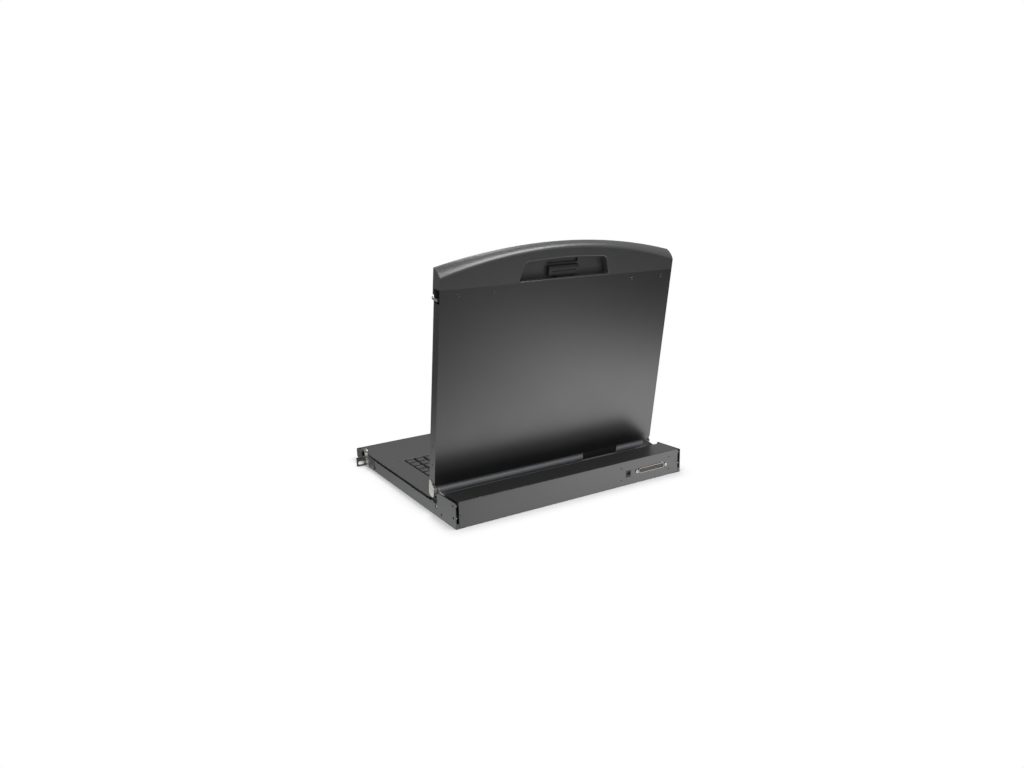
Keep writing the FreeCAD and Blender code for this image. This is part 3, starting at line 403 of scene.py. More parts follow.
def barrel_plastic_painted_light(settings):
    """Matt moulding of the hinge barrel covers, painted six times paler than the crown plastic as
    painted light.
    """
    finish = Finish("matt_barrel_plastic")
    grain = finish.noise(0.4 * MM, 1.0)
    drag = finish.noise(12 * MM, 2.0, stretch=(0.2, 1.0, 1.0))
    # Painted light: a six times paler copy of the crown plastic stands in for the light on the
    # covers.
    return finish.set(Base_Color=dust_and_rubs(finish, shade(settings.crown, 6.0), 0.05, 0.9),
                      Roughness=0.54 + drag * 0.10,
                      Normal=finish.bump(grain, 0.015 * MM, 0.5), IOR=2.1)


def key_plastic(settings):
    """Fine-grained key caps, with patches polished by use."""
    finish = Finish("key_plastic")
    grain = finish.noise(0.4 * MM, 1.0)
    worn = finish.noise(16 * MM, 1.0)
    return finish.set(Base_Color=dust_and_rubs(finish, settings.keys, 0.08, 0.9),
                      Roughness=0.36 + worn * 0.16,
                      Normal=finish.bump(grain, 0.015 * MM, 0.5), IOR=1.52)


def mottled(name, size, stretch, tones, roughness, spread, dent):
    """Black stuff whose one noise gives its tone, its dullness and its dents."""
    finish = Finish(name)
    cloud = finish.noise(size, 3.0, stretch=stretch)
    return finish.set(Base_Color=finish.mix(cloud, *tones), Roughness=roughness + cloud * spread,
                      Normal=finish.bump(cloud, dent, 0.4))


def black_moulding(settings):
    """Glass-filled black plastic of sockets, carriers and small buttons."""
    tone = (0.018, 0.018, 0.019)
    return mottled("black_moulding", 1.2 * MM, (1.0, 0.3, 1.0),
                   (shade(tone, 0.8), shade(tone, 1.5)), 0.40, 0.15, 0.01 * MM)


def pad_plastic(settings):
    """Smooth grey touch pad, polished in patches by use."""
    finish = Finish("touch_pad_plastic")
    grain = finish.noise(0.25 * MM, 1.0)
    worn = finish.noise(22 * MM, 2.0)
    tone = (0.052, 0.053, 0.057)
    return finish.set(Base_Color=finish.mix(worn, shade(tone, 0.9), shade(tone, 1.15)),
                      Roughness=0.34 + worn * 0.14, Normal=finish.bump(grain, 0.008 * MM, 0.5))


def plated(name, tone, roughness, direction, patches):
    """Plated steel: drawn lines along one direction, cloudy bright and dull patches."""
    finish = Finish(name)
    lines = finish.noise(0.6 * MM, 2.0, stretch=direction)
    clouds = finish.noise(8 * MM, 3.0)
    dull = finish.noise(2.5 * MM, 3.0).above(0.58, 0.15) * patches
    base = finish.mix(clouds, shade(tone, 0.82), tone)
    base = finish.mix(dull, base, shade(tone, 0.6))
    return finish.set(Base_Color=base, Metallic=1.0,
                      Roughness=roughness + lines * 0.10 + dull * 0.12,
                      Normal=finish.bump(lines, 0.010 * MM, 0.5))


PLATINGS = {      # material, colour or its setting, roughness, way of the drawn lines, dull patches
    "zinc": ("bright_zinc", "zinc", 0.26, (1.0, 0.04, 1.0), 0.5),
    "nickel": ("bright_nickel", "nickel", 0.16, (1.0, 1.0, 0.3), 0.2),
    "tin": ("tin_plate", (0.62, 0.63, 0.64), 0.32, (0.05, 1.0, 1.0), 0.3),
    "gold": ("gold_contact", (0.50, 0.37, 0.17), 0.26, (1.0, 0.2, 1.0), 0.2),
    # Painted light in part: a paler copy of the zinc for the bright hinge arms, front brackets and
    # rail studs.
    "pale_zinc": ("pale_zinc", (0.74, 0.72, 0.67), 0.34, (1.0, 0.04, 1.0), 0.35),
}


def latch_steel(settings):
    """Zinc at the hooks; the long bar between them is black as painted shade inside the handle
    recess.
    """
    finish = Finish("latch_steel")
    x = finish.axes()[0]
    drawn = finish.noise(0.8 * MM, 2.0, stretch=(0.1, 1.0, 1.0))
    # Painted shade: everything between the hooks turns near black.
    hook = x.size().above(200 * MM, 2 * MM)
    return finish.set(Base_Color=finish.mix(hook, (0.012, 0.012, 0.013), (0.82, 0.80, 0.75)),
                      Metallic=hook, Roughness=0.42 - hook * 0.12 + drawn * 0.08,
                      Normal=finish.bump(drawn, 0.01 * MM, 0.5))


def blackened_steel(settings):
    """Oil-blackened screws and rivets, bright where a driver has touched them."""
    finish = Finish("blackened_steel")
    clouds = finish.noise(1.4 * MM, 3.0)
    touched = clouds.above(0.62, 0.08)
    base = finish.mix(touched * 0.7, (0.09, 0.09, 0.095), (0.45, 0.44, 0.42))
    return finish.set(Base_Color=base, Metallic=0.85, Roughness=0.30 + clouds * 0.15,
                      Normal=finish.bump(clouds, 0.02 * MM, 0.4))


def solder_mask(settings):
    """Green board with buried tracks and bare metal pads."""
    finish = Finish("green_board")
    cells = finish.node("ShaderNodeTexVoronoi", {"distance": "CHEBYCHEV"},
                        Vector=finish.position(), Scale=1.0 / (4.5 * MM))
    tracks = 1 - finish.wire(cells).above(0.42, 0.04)
    dots = finish.node("ShaderNodeTexVoronoi", Vector=finish.position(), Scale=1.0 / (6 * MM))
    pads = 1 - finish.wire(dots).above(0.16, 0.03)
    base = finish.mix(tracks, (0.010, 0.075, 0.030), (0.018, 0.13, 0.05))
    base = finish.mix(pads, base, (0.55, 0.50, 0.38))
    return finish.set(Base_Color=base, Roughness=0.32 + tracks * 0.05, Metallic=pads * 0.8,
                      Normal=finish.bump(tracks, 0.03 * MM, 0.5))


def soft_rubber(settings):
    """Dull black pads with a pale bloom."""
    tone = (0.022, 0.022, 0.022)
    return mottled("soft_rubber", 2 * MM, (1.0, 1.0, 1.0), (tone, shade(tone, 1.8)), 0.72, 0.12,
                   0.02 * MM)


def screen_film(settings):
    """Dark panel under an anti-glare film, with its darker masked border."""
    finish = Finish("screen_film")
    low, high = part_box("lcd_glass")
    x, _, z = finish.axes()
    sparkle = finish.noise(0.18 * MM, 1.0)
    half = (high.x - low.x) / 2
    side = x.size().above(half - 3.0 * MM, 0.3 * MM)
    foot = 1 - z.above(low.z + 4.0 * MM, 0.3 * MM)
    head = z.above(high.z - 4.0 * MM, 0.3 * MM)
    border = (side + foot + head).clamp()
    base = finish.mix(border, (0.012, 0.013, 0.017), (0.004, 0.004, 0.004))
    return finish.set(Base_Color=base, Roughness=0.20 + sparkle * 0.05 + border * 0.05,
                      Normal=finish.bump(sparkle, 0.004 * MM, 0.4), IOR=1.5)


def clear_acrylic(settings):
    """Polished light guide with a faint haze."""
    finish = Finish("light_guide_acrylic")
    haze = finish.noise(12 * MM, 2.0)
    return finish.set(Base_Color=finish.mix(haze, (0.80, 0.83, 0.84), (0.88, 0.90, 0.90)),
                      Roughness=0.12 + haze * 0.05, IOR=1.49)


def lip_shade_finish(settings):
    """Almost black, dull sheet of the lip at the lid's foot, as painted shade in the hinge valley.
    """
    finish = Finish("dark_recess")
    dust = finish.noise(0.5 * MM, 1.0)
    return finish.set(Base_Color=finish.mix(dust, (0.004, 0.004, 0.004), (0.012, 0.012, 0.012)),
                      Roughness=0.7 + dust * 0.1)


FINISHES = {
    "black_sheet": sheet_paint, "rail_sheet": rail_paint_painted_light, "crown_plastic": crown_plastic,
    "deck_plastic": deck_plastic, "key_plastic": key_plastic, "black_plastic": black_moulding,
    "pad_plastic": pad_plastic, "black_screw": blackened_steel, "board": solder_mask,
    "rubber": soft_rubber, "barrel": barrel_plastic_painted_light, "screen": screen_film,
    "acrylic": clear_acrylic, "latch": latch_steel, "dark": lip_shade_finish,
}
SPECIAL_FINISHES = {
    **dict.fromkeys(pairs("side_rail"), "rail_sheet"),
    **dict.fromkeys(pairs("hinge_arm", "front_bracket"), "pale_zinc"),
    "hinge_cover_long": "barrel", "hinge_cover_short": "barrel", "latch_bar": "latch",
}
made = {}                     # finishes by name, once they are built


def slot_of(node):
    return next(p["material_slot"] for p in frame["record"]["subparts"] if p["node"] == node)


def finish_of(node):
    return made[SPECIAL_FINISHES.get(node, slot_of(node))]


def body_of(node):
    return frame["nodes"][node]["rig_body"]


def wear(obj, material):
    obj.data.materials.clear()
    obj.data.materials.append(material)


# ---- Meshes ----
def placed(name, data):
    """A new object in the scene."""
    obj = bpy.data.objects.new(name, data)
    bpy.context.scene.collection.objects.link(obj)
    return obj


def new_piece(name, mesh, body, slot, material=None):
    """Puts a finished mesh in the scene, riding on its body and, if asked, dressed."""
    obj = placed(name, mesh)
    if material is not None:
        wear(obj, material)
    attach(obj, body)
    return obj


def stand_for(node, name, mesh):
    """Puts a finished mesh in a node's place, with the node's own finish."""
    obj = new_piece(name, mesh, body_of(node), slot_of(node), finish_of(node))
    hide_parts(node)


def plain_mesh(source):
    """The object's mesh with its modifiers applied; the object itself goes."""
    graph = bpy.context.evaluated_depsgraph_get()
    mesh = bpy.data.meshes.new_from_object(source.evaluated_get(graph), depsgraph=graph)
    bpy.data.objects.remove(source)
    return mesh


def smooth(mesh, degrees):
    """Shades the mesh smooth but for edges sharper than the angle."""
    for polygon in mesh.polygons:
        polygon.use_smooth = True
    mesh.set_sharp_from_angle(angle=math.radians(degrees))


def edited_mesh(edit, name, degrees):
    """The finished mesh of an edit, smooth but for edges sharper than the angle."""
    mesh = bpy.data.meshes.new(name)
    edit.to_mesh(mesh)
    edit.free()
    smooth(mesh, degrees)
    return mesh


def merged(mesh):
    """An editable mesh whose loose triangles are joined."""
    edit = bmesh.new()
    edit.from_mesh(mesh)
    bmesh.ops.remove_doubles(edit, verts=edit.verts, dist=SAME_PLACE)
    return edit


def loft(edit, rings):
    """Skins a stack of rings and closes both ends."""
    count = len(rings[0])
    for lower, upper in zip(rings, rings[1:]):
        for i in range(count):
            j = (i + 1) % count
            edit.faces.new((lower[i], lower[j], upper[j], upper[i]))
    edit.faces.new(rings[-1])
    edit.faces.new(rings[0][::-1])


def soften_mouth(edit, width):
    """Rounds the lips of the handle recess, which lie in the flat back of the crown."""
    lips = []
    for edge in edit.edges:
        places = [lid_place(v.co) for v in edge.verts]
        in_back = all(abs(out) < 0.15 * MM and RECESS_FOOT < up < RECESS_TOP for up, out in places)
        in_width = all(abs(v.co.x) < RECESS_HALF for v in edge.verts)
        if in_back and in_width and edge.calc_face_angle(0) > ROUND_ANGLE:
            lips.append(edge)
    bmesh.ops.bevel(edit, geom=lips, offset=width, segments=4, profile=0.5, affect="EDGES",
                    clamp_overlap=False)


def oval_drop(out, length, height):
    """Drop of a quarter oval below its top: all its height at 0, none past its length."""
    share_in = max(0.0, 1 - max(out, 0.0) / length)
    return height * (1 - math.sqrt(1 - share_in ** 2))


def soften_crest(edit, reach, drop):
    """Turns the crown's top over towards its back in one soft quarter oval."""
    for share_out in (0.06, 0.22, 0.31, 0.43, 0.58, 0.76, 0.98):
        bmesh.ops.bisect_plane(edit, geom=edit.verts[:] + edit.edges[:] + edit.faces[:],
                               plane_co=in_lid(0.0, 0.0, reach * share_out), plane_no=LID_OUT)
    crest = set()
    for face in edit.faces:
        centre = face.calc_center_median()
        up = lid_place(centre)[0]
        in_recess = abs(centre.x) < RECESS_HALF and up < RECESS_TOP
        if abs(face.normal.dot(LID_UP)) > 0.03 and up > CREST_FOOT and not in_recess:
            crest.update(face.verts)
    for vert in crest:
        out = lid_place(vert.co)[1]
        packed = oval_drop(out, CREST_FILLET, CREST_FILLET)
        vert.co -= (oval_drop(out, reach, drop) - packed) * LID_UP


def clean_copy(node):
    """A merged copy of a node's mesh with its flat faces joined, ready to be rounded."""
    mesh = frame["nodes"][node].data.copy()
    edit = merged(mesh)
    bmesh.ops.dissolve_limit(edit, angle_limit=math.radians(0.6), verts=edit.verts,
                             edges=edit.edges)
    if node == "crown_bezel":
        details = bpy.context.scene.console_detail
        soften_mouth(edit, details.mouth_edge)
        soften_crest(edit, details.crest_reach, details.crest_drop)
    bmesh.ops.triangulate(edit, faces=edit.faces)
    bmesh.ops.recalc_face_normals(edit, faces=edit.faces)
    edit.to_mesh(mesh)
    edit.free()
    mesh.materials.clear()
    return mesh


def add_modifier(obj, name, kind, **settings):
    """A modifier with its settings."""
    modifier = obj.modifiers.new(name, kind)
    for key, value in settings.items():
        setattr(modifier, key, value)
    return modifier


def rounded(node, width, segments=2):
    """Stands for a node: the same form with its sharp edges rounded."""
    name = node + "_finished"
    source = placed(name, clean_copy(node))
    smooth(source.data, 25)
    add_modifier(source, "Rounding", "BEVEL", width=width, segments=segments,
                 limit_method="ANGLE", angle_limit=ROUND_ANGLE, use_clamp_overlap=True,
                 loop_slide=False)
    add_modifier(source, "Flat faces stay flat", "WEIGHTED_NORMAL", mode="FACE_AREA", weight=100,
                 keep_sharp=True)
    stand_for(node, name, plain_mesh(source))


def islands(node):
    """Boxes of a node's separate solids, left to right."""
    edit = merged(frame["nodes"][node].data)
    seen, boxes = set(), []
    for start in edit.verts:
        if start in seen:
            continue
        group, queue = [], [start]
        seen.add(start)
        while queue:
            vert = queue.pop()
            group.append(vert.co.copy())
            for edge in vert.link_edges:
                other = edge.other_vert(vert)
                if other not in seen:
                    seen.add(other)
                    queue.append(other)
        boxes.append([Vector([end(p[i] for p in group) for i in range(3)]) for end in (min, max)])
    edit.free()
    return sorted(boxes, key=lambda b: (round(b[0].x, 5), b[0].y))


# ---- Geometry Nodes ----
class Pattern(Graph):
    """A Geometry Nodes tree under construction, with named inputs."""

    def __init__(self, name, sizes, counts=()):
        super().__init__(bpy.data.node_groups.new(name, "GeometryNodeTree"))
        kinds = dict.fromkeys(sizes, "NodeSocketFloat") | dict.fromkeys(counts, "NodeSocketInt")
        kinds["Material"] = "NodeSocketMaterial"
        face = self.tree.interface
        face.new_socket("Geometry", in_out="INPUT", socket_type="NodeSocketGeometry")
        self.keys = {label: face.new_socket(label, in_out="INPUT", socket_type=kind).identifier
                     for label, kind in kinds.items()}
        face.new_socket("Geometry", in_out="OUTPUT", socket_type="NodeSocketGeometry")
        self.source = self.node("NodeGroupInput")
        self.result = self.node("NodeGroupOutput")

    def given(self, label):
        return self.wire(self.source, label)

    def finish(self, shape):
        """Closes the tree: instances on the points, realized, with their material."""
        aim = self.node("GeometryNodeInputNamedAttribute", {"data_type": "FLOAT_VECTOR"},
                        Name="aim")
        turn = self.node("FunctionNodeAlignRotationToVector", {"axis": "Z"}, Vector=aim)
        spread = self.node("GeometryNodeInstanceOnPoints", Points=self.given("Geometry"),
                           Instance=shape, Rotation=turn)
        real = self.node("GeometryNodeRealizeInstances", Geometry=spread)
        dressed = self.node("GeometryNodeSetMaterial", Geometry=real,
                            Material=self.given("Material"))
        self.plug(self.result.inputs[0], dressed)
        return self


def scatter(name, pattern, points, values, body, slot):
    """One mesh of a pattern's shape at each (place, aim) point."""
    mesh = bpy.data.meshes.new(name + "_points")
    mesh.from_pydata([place for place, _ in points], [], [])
    aims = mesh.attributes.new("aim", "FLOAT_VECTOR", "POINT")
    aims.data.foreach_set("vector", [c for _, aim in points for c in aim.normalized()])
    source = placed(name, mesh)
    modifier = add_modifier(source, pattern.tree.name, "NODES", node_group=pattern.tree)
    for label, value in values.items():
        modifier[pattern.keys[label]] = value
    result = plain_mesh(source)
    smooth(result, 35)
    result.name = name
    return new_piece(name, result, body, slot)


def dome_pattern(recess):
    """Low domed head, with a cross recess for a driver if asked."""
    slots = ("Slot Length", "Slot Width", "Slot Depth") if recess else ()
    p = Pattern("driven_head" if recess else "domed_head", ("Radius", "Height", *slots))
    ball = p.node("GeometryNodeMeshUVSphere", Segments=24, Rings=12, Radius=1.0)
    size = p.node("ShaderNodeCombineXYZ", X=p.given("Radius"), Y=p.given("Radius"),
                  Z=p.given("Height"))
    scaled = p.node("GeometryNodeTransform", Geometry=ball, Scale=size)
    x, y, z = p.split(p.node("GeometryNodeInputPosition"))
    flat = p.node("ShaderNodeCombineXYZ", X=x, Y=y, Z=z.maths("MAXIMUM", 0.0))
    head = p.node("GeometryNodeSetPosition", Geometry=scaled, Position=flat)
    if not recess:
        return p.finish(head)
    cross = p.node("GeometryNodeMeshBoolean", {"operation": "UNION"})
    lift = p.node("ShaderNodeCombineXYZ", Z=p.given("Height"))
    for sides in (("Slot Length", "Slot Width"), ("Slot Width", "Slot Length")):
        size = p.node("ShaderNodeCombineXYZ", X=p.given(sides[0]), Y=p.given(sides[1]),
                      Z=p.given("Slot Depth") * 2.0)
        bar = p.node("GeometryNodeMeshCube", Size=size)
        p.plug(cross.inputs["Mesh 2"],
               p.node("GeometryNodeTransform", Geometry=bar, Translation=lift))
    return p.finish(p.node("GeometryNodeMeshBoolean", {"operation": "DIFFERENCE"}, Mesh_1=head,
                           Mesh_2=cross))


def ring_pattern():
    """Turned ring: a short tube with rounded lips, such as a contact socket or a thread."""
    p = Pattern("turned_ring", ("Radius", "Wall", "Height"), ("Sides",))
    path = p.node("GeometryNodeCurvePrimitiveCircle", Resolution=p.given("Sides"),
                  Radius=p.given("Radius"))
    section = p.node("GeometryNodeCurvePrimitiveQuadrilateral", Width=p.given("Wall"),
                     Height=p.given("Height"))
    soft = p.node("GeometryNodeFilletCurve", {"mode": "POLY"}, Curve=section,
                  Radius=p.given("Wall") * 0.3, Count=1)
    return p.finish(p.node("GeometryNodeCurveToMesh", Curve=path, Profile_Curve=soft))


def ball_pattern():
    """Ball of a slide's race."""
    p = Pattern("slide_ball", ("Radius",))
    return p.finish(p.node("GeometryNodeMeshIcoSphere", Radius=p.given("Radius"), Subdivisions=2))


# ---- Operators ----
class DressFrame(bpy.types.Operator):
    """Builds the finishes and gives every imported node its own"""

    bl_idname = "console.dress_frame"
    bl_label = "Dress frame"

    def execute(self, context):
        settings = context.scene.console_finish
        for name, build in FINISHES.items():
            made[name] = build(settings)
        for name, (material, tone, *rest) in PLATINGS.items():
            tone = getattr(settings, tone) if isinstance(tone, str) else tone
            made[name] = plated(material, tone, *rest)
        for name, obj in frame["nodes"].items():
            wear(obj, finish_of(name))
        return {"FINISHED"}


SHEET_NODES = ["lid_back_cover", "box_cover", "rear_panel", *pairs("side_rail", "ear"),
               "cross_strap_front", "cross_strap_rear"]
METAL_NODES = [*pairs("hinge_arm", "hinge_bracket", "front_bracket"), "latch_bar",
               "connector_shell"]
PLASTIC_NODES = ["crown_bezel", "front_bezel", "latch_slider", "hinge_cover_long",
                 "hinge_cover_short", "keyboard_surround", "palm_rest", "front_fascia",
                 "touchpad", *pairs("touchpad_button")]


class RoundSheet(bpy.types.Operator):
    """Rounds the folds and cut edges of the painted and plated sheet parts"""

    bl_idname = "console.round_sheet"
    bl_label = "Sheet parts"

    def execute(self, context):
        width = context.scene.console_detail.sheet_edge
        for node in SHEET_NODES + METAL_NODES:
            rounded(node, width)
        return {"FINISHED"}


class RoundPlastic(bpy.types.Operator):
    """Rounds the edges of the moulded parts"""

    bl_idname = "console.round_plastic"
    bl_label = "Moulded parts"

    def execute(self, context):
        width = context.scene.console_detail.plastic_edge
        for node in PLASTIC_NODES:
            rounded(node, width, 3)
        return {"FINISHED"}


STEM_HEIGHT, STEM_SIDE = 3.3 * MM, 4.8 * MM     # post under each key cap
SKIRT_HEIGHT, SKIRT_RADIUS = 0.9 * MM, 0.9 * MM  # flared foot of a cap
TOP_INSETS = (1.9 * MM, 1.1 * MM, 2.1 * MM)     # of a cap's top from its sides, front and back
TOP_RADIUS = 1.5 * MM                 # corners of a cap's top
WIDE_KEY = 1.7                        # a top wider than this many depths dishes along Y only


def corner_ring(edit, low_x, low_y, high_x, high_y, z, radius):
    """Points round a rectangle with rounded corners."""
    points = []
    for right, back, start in ((1, 0, -90), (1, 1, 0), (0, 1, 90), (0, 0, 180)):
        x = high_x - radius if right else low_x + radius
        y = high_y - radius if back else low_y + radius
        for step in range(4):
            angle = math.radians(start + 30 * step)
            points.append(edit.verts.new((x + radius * math.cos(angle),
                                          y + radius * math.sin(angle), z)))
    return points


def key_mesh(edit, low, high, details):
    """One key cap: soft top edge, dished top, flared skirt and the stem below it."""
    foot, edge = low.z + STEM_HEIGHT, details.key_edge
    side, front, back = TOP_INSETS
    top_low = Vector((low.x + side, low.y + front))
    top_high = Vector((high.x - side, high.y - back))
    rings = [corner_ring(edit, low.x, low.y, high.x, high.y, foot, SKIRT_RADIUS),
             corner_ring(edit, low.x + 0.12 * MM, low.y + 0.08 * MM, high.x - 0.12 * MM,
                         high.y - 0.12 * MM, foot + SKIRT_HEIGHT, SKIRT_RADIUS)]
    for share_up in (0.0, 0.35, 0.7, 1.0):
        angle = share_up * math.pi / 2
        inset = edge * (1 - math.cos(angle))
        spread = edge * 0.4 - inset
        rings.append(corner_ring(edit, top_low.x - spread, top_low.y - spread,
                                 top_high.x + spread, top_high.y + spread,
                                 high.z - edge + edge * math.sin(angle), TOP_RADIUS - inset * 0.5))
    centre, half = (top_low + top_high) / 2, (top_high - top_low) / 2
    rim = rings[-1]
    for pull in (0.72, 0.40, 0.12):
        dish = []
        for vert in rim:
            place = centre + (vert.co.xy - centre) * pull
            across, along = (place.x - centre.x) / half.x, (place.y - centre.y) / half.y
            bowl = 1 - across ** 2 - 0.25 * along ** 2
            if half.x >= WIDE_KEY * half.y:
                bowl = 1 - along ** 2
            dish.append(edit.verts.new((*place, high.z - details.key_dish * max(bowl, 0.0))))
        rings.append(dish)
    loft(edit, rings)
    middle = Vector(((low.x + high.x) / 2, (low.y + high.y) / 2, low.z + STEM_HEIGHT / 2))
    size = Vector((STEM_SIDE, STEM_SIDE, STEM_HEIGHT))
    bmesh.ops.create_cube(edit, size=1.0, matrix=Matrix.LocRotScale(middle, None, size))


class MakeKeys(bpy.types.Operator):
    """Key caps with soft edges and dished tops, one piece for each row"""

    bl_idname = "console.make_keys"
    bl_label = "Keys"

    def execute(self, context):
        details = context.scene.console_detail
        rows = sorted(n for n in frame["nodes"] if n.startswith("keys_")) + ["space_bar"]
        for node in rows:
            edit = bmesh.new()
            for low, high in islands(node):
                key_mesh(edit, low, high, details)
            name = node + "_caps"
            stand_for(node, name, edited_mesh(edit, name, 38))
        return {"FINISHED"}


CROSS_LENGTH, CROSS_WIDTH = 1.35, 0.32      # of a cross recess, in sizes of its driver
SCREW_SHANK = 2.6 * MM                # radius of the lid screws' solids


def seat(node, low, high, height):
    """Where a fastener's head stands and which way it points."""
    centre, half = (low + high) / 2, (high - low) / 2
    side = 1 if low.x > 0 else -1
    outer, inner = (high.x, low.x) if side > 0 else (low.x, high.x)
    if node == "lid_screws":
        aim = -LID_OUT
        reach = abs(half.y * aim.y) + abs(half.z * aim.z) - 2 * SCREW_SHANK * abs(aim.y * aim.z)
        return centre + aim * (reach - height * 0.3), aim
    if node == "panel_rivets":
        return Vector((centre.x, low.y, centre.z)), BACK
    if node == "hinge_screws":
        return Vector((centre.x, centre.y, high.z - height)), UP
    if node == "ear_rivets":
        return Vector((outer - side * height, centre.y, centre.z)), side * RIGHT
    return Vector((inner + side * 0.9 * MM, high.y, centre.z)), BACK       # rear_nuts


class MakeScrews(bpy.types.Operator):
    """Screw and rivet heads of the lid, rear panel, hinge feet and ears, and the rails' studs"""

    bl_idname = "console.make_screws"
    bl_label = "Screws and rivets"

    def execute(self, context):
        details = context.scene.console_detail
        plain, driven = dome_pattern(False), dome_pattern(True)
        lid, panel = details.screw_radius / MM, details.rivet_radius / MM
        heads = (       # piece, node, then in mm its radius, height, driver and recess depth
            ("lid_screws_heads", "lid_screws", lid, 0.85, 1.7, 0.35),
            ("panel_rivets_heads", "panel_rivets", panel, 0.60, 0.0, 0.0),
            ("hinge_screws_heads", "hinge_screws", 2.7, 1.30, 2.2, 0.7),
            ("ear_rivet_heads", "ear_rivets", 2.7, 0.8, 0.0, 0.0),
            ("rail_end_studs", "rear_nuts", 1.5, 2.6, 0.0, 0.0),
        )
        for name, node, *sizes in heads:
            radius, height, driver, depth = [size * MM for size in sizes]
            added = name == "rail_end_studs"        # the others stand for their nodes
            values = {"Radius": radius, "Height": height,
                      "Material": made["pale_zinc" if added else "black_screw"]}
            if driver:
                values |= {"Slot Length": driver * CROSS_LENGTH, "Slot Depth": depth,
                           "Slot Width": driver * CROSS_WIDTH}
            points = [seat(node, low, high, height) for low, high in islands(node)]
            piece = scatter(name, driven if driver else plain, points, values, body_of(node),
                            "nickel" if added else "black_screw")
            if not added:
                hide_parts(node)
        return {"FINISHED"}


CONTACT_PITCH, ROW_GAP = 2.77 * MM, 2.84 * MM   # of the D connector's two rows of contacts
THREAD_START, THREAD_PITCH = 0.35 * MM, 0.45 * MM       # of the posts' thread rings


class MakeConnector(bpy.types.Operator):
    """Contact sockets of the D connector and thread rings of its posts"""

    bl_idname = "console.make_connector"
    bl_label = "Connector"

    def execute(self, context):
        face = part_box("connector_insert")[1].y
        low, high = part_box("connector_shell")
        centre = (low + high) / 2
        contacts = []
        for row, count in ((0.5, 19), (-0.5, 18)):
            for i in range(count):
                x = centre.x + (i - (count - 1) / 2) * CONTACT_PITCH
                contacts.append((Vector((x, face - 0.25 * MM, centre.z + row * ROW_GAP)), BACK))
        threads = []
        for low, high in islands("jackscrews"):
            centre = (low + high) / 2
            for turn in range(5):
                y = high.y - THREAD_START - THREAD_PITCH * turn
                threads.append((Vector((centre.x, y, centre.z)), BACK))
        ring = ring_pattern()
        values = {"Radius": 0.60 * MM, "Wall": 0.20 * MM, "Height": 0.6 * MM, "Sides": 10,
                  "Material": made["gold"]}
        scatter("connector_contacts", ring, contacts, values, "drawer", "nickel")
        values = {"Radius": 1.15 * MM, "Wall": 0.18 * MM, "Height": 0.2 * MM, "Sides": 20,
                  "Material": made["nickel"]}
        scatter("post_threads", ring, threads, values, "drawer", "nickel")
        return {"FINISHED"}


class MakeFootLip(bpy.types.Operator):
    """Hemmed lip of the lid's back sheet, closing the gap between the two barrel covers; almost
    black, it is painted shade for the hinge valley
    """

    bl_idname = "console.make_foot_lip"
    bl_label = "Lid foot lip"

    def execute(self, context):
        details = context.scene.console_detail
        sheet, hem = details.lip_sheet, details.lip_sheet * 2.2
        gap, skin = 0.4 * MM, 0.3 * MM      # to the barrel covers, and in from the lid's back
        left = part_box("hinge_cover_short")[1].x + gap
        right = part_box("hinge_cover_long")[0].x - gap
        top, foot = 1.5 * MM, -details.lip_drop
        profile = [(top, 0.0), (top, sheet), (foot + hem, sheet), (foot + hem, hem),
                   (foot + hem * 0.3, hem), (foot, hem * 0.7), (foot, hem * 0.3),
                   (foot + hem * 0.3, 0.0)]
        edit = bmesh.new()
        loft(edit, [[edit.verts.new(in_lid(x, up, skin + out)) for up, out in profile]
                    for x in (left, right)])
        bmesh.ops.recalc_face_normals(edit, faces=edit.faces)
        corners = [e for e in edit.edges if e.calc_face_angle(0) > math.radians(50)]
        bmesh.ops.bevel(edit, geom=corners, offset=0.18 * MM, segments=2, affect="EDGES",
                        profile=0.5)
        # Painted shade: the lip wears the almost black finish rather than the lid's sheet paint.
        new_piece("lid_foot_lip", edited_mesh(edit, "lid_foot_lip", 30), "lid", "black_sheet",
                  made["dark"])
        return {"FINISHED"}


BALL_COUNT, BALL_START, BALL_PITCH = 24, 100 * MM, 7.0 * MM     # balls in each race


class MakeSlides(bpy.types.Operator):
    """Balls of the telescopic slides, carried between the members"""

    bl_idname = "console.make_slides"
    bl_label = "Slide balls"

    def execute(self, context):
        radius = context.scene.console_detail.ball_radius
        values = {"Radius": radius, "Material": made["nickel"]}
        pattern = ball_pattern()
        for side in ("left", "right"):
            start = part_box("slide_middle_" + side)[0].y + BALL_START
            low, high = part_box("slide_inner_" + side)
            points = [(Vector(((low.x + high.x) / 2, start + i * BALL_PITCH, z)), UP)
                      for z in (high.z + radius * 1.05, low.z - radius * 1.05)
                      for i in range(BALL_COUNT)]
            scatter("slide_balls_" + side, pattern, points, values, "slide_middles", "nickel")
        return {"FINISHED"}


# ---- Stage ----
LAMPS = (       # name, place, the point it faces, its two sides; powers are in the settings
    ("key", (1.5, 0.5, 1.5), (0.0, 0.0, 0.15), (1.0, 1.0)),
    ("fill", (-0.35, 0.55, 1.55), (0.0, 0.14, 0.2), (1.0, 0.3)),
    ("rim", (-0.40, -1.25, 1.75), (0.15, 0.12, 0.38), (0.6, 0.6)),
)
FLOOR_REACH = 6.0                     # half of the floor's side
SHADOW_REACH = 16 * MM                # of the dark line where the object meets the floor
POOL_REACH = 0.35                     # of the light pools that gloss sees on the floor
POOL_BEHIND, POOL_BESIDE = (-0.32, 0.33), (0.40, -0.05)     # their middles


def falloff(square, reach):
    """Bell curve of a squared distance, fading out over the reach."""
    return (square * (-1.0 / reach ** 2)).maths("EXPONENT")


def pool(x, y, middle, narrow=1.0):
    """Pool of light round a point of the floor, narrower along X by a factor."""
    across, along = x - middle[0], y - middle[1]
    return falloff(across * across * narrow + along * along, POOL_REACH)


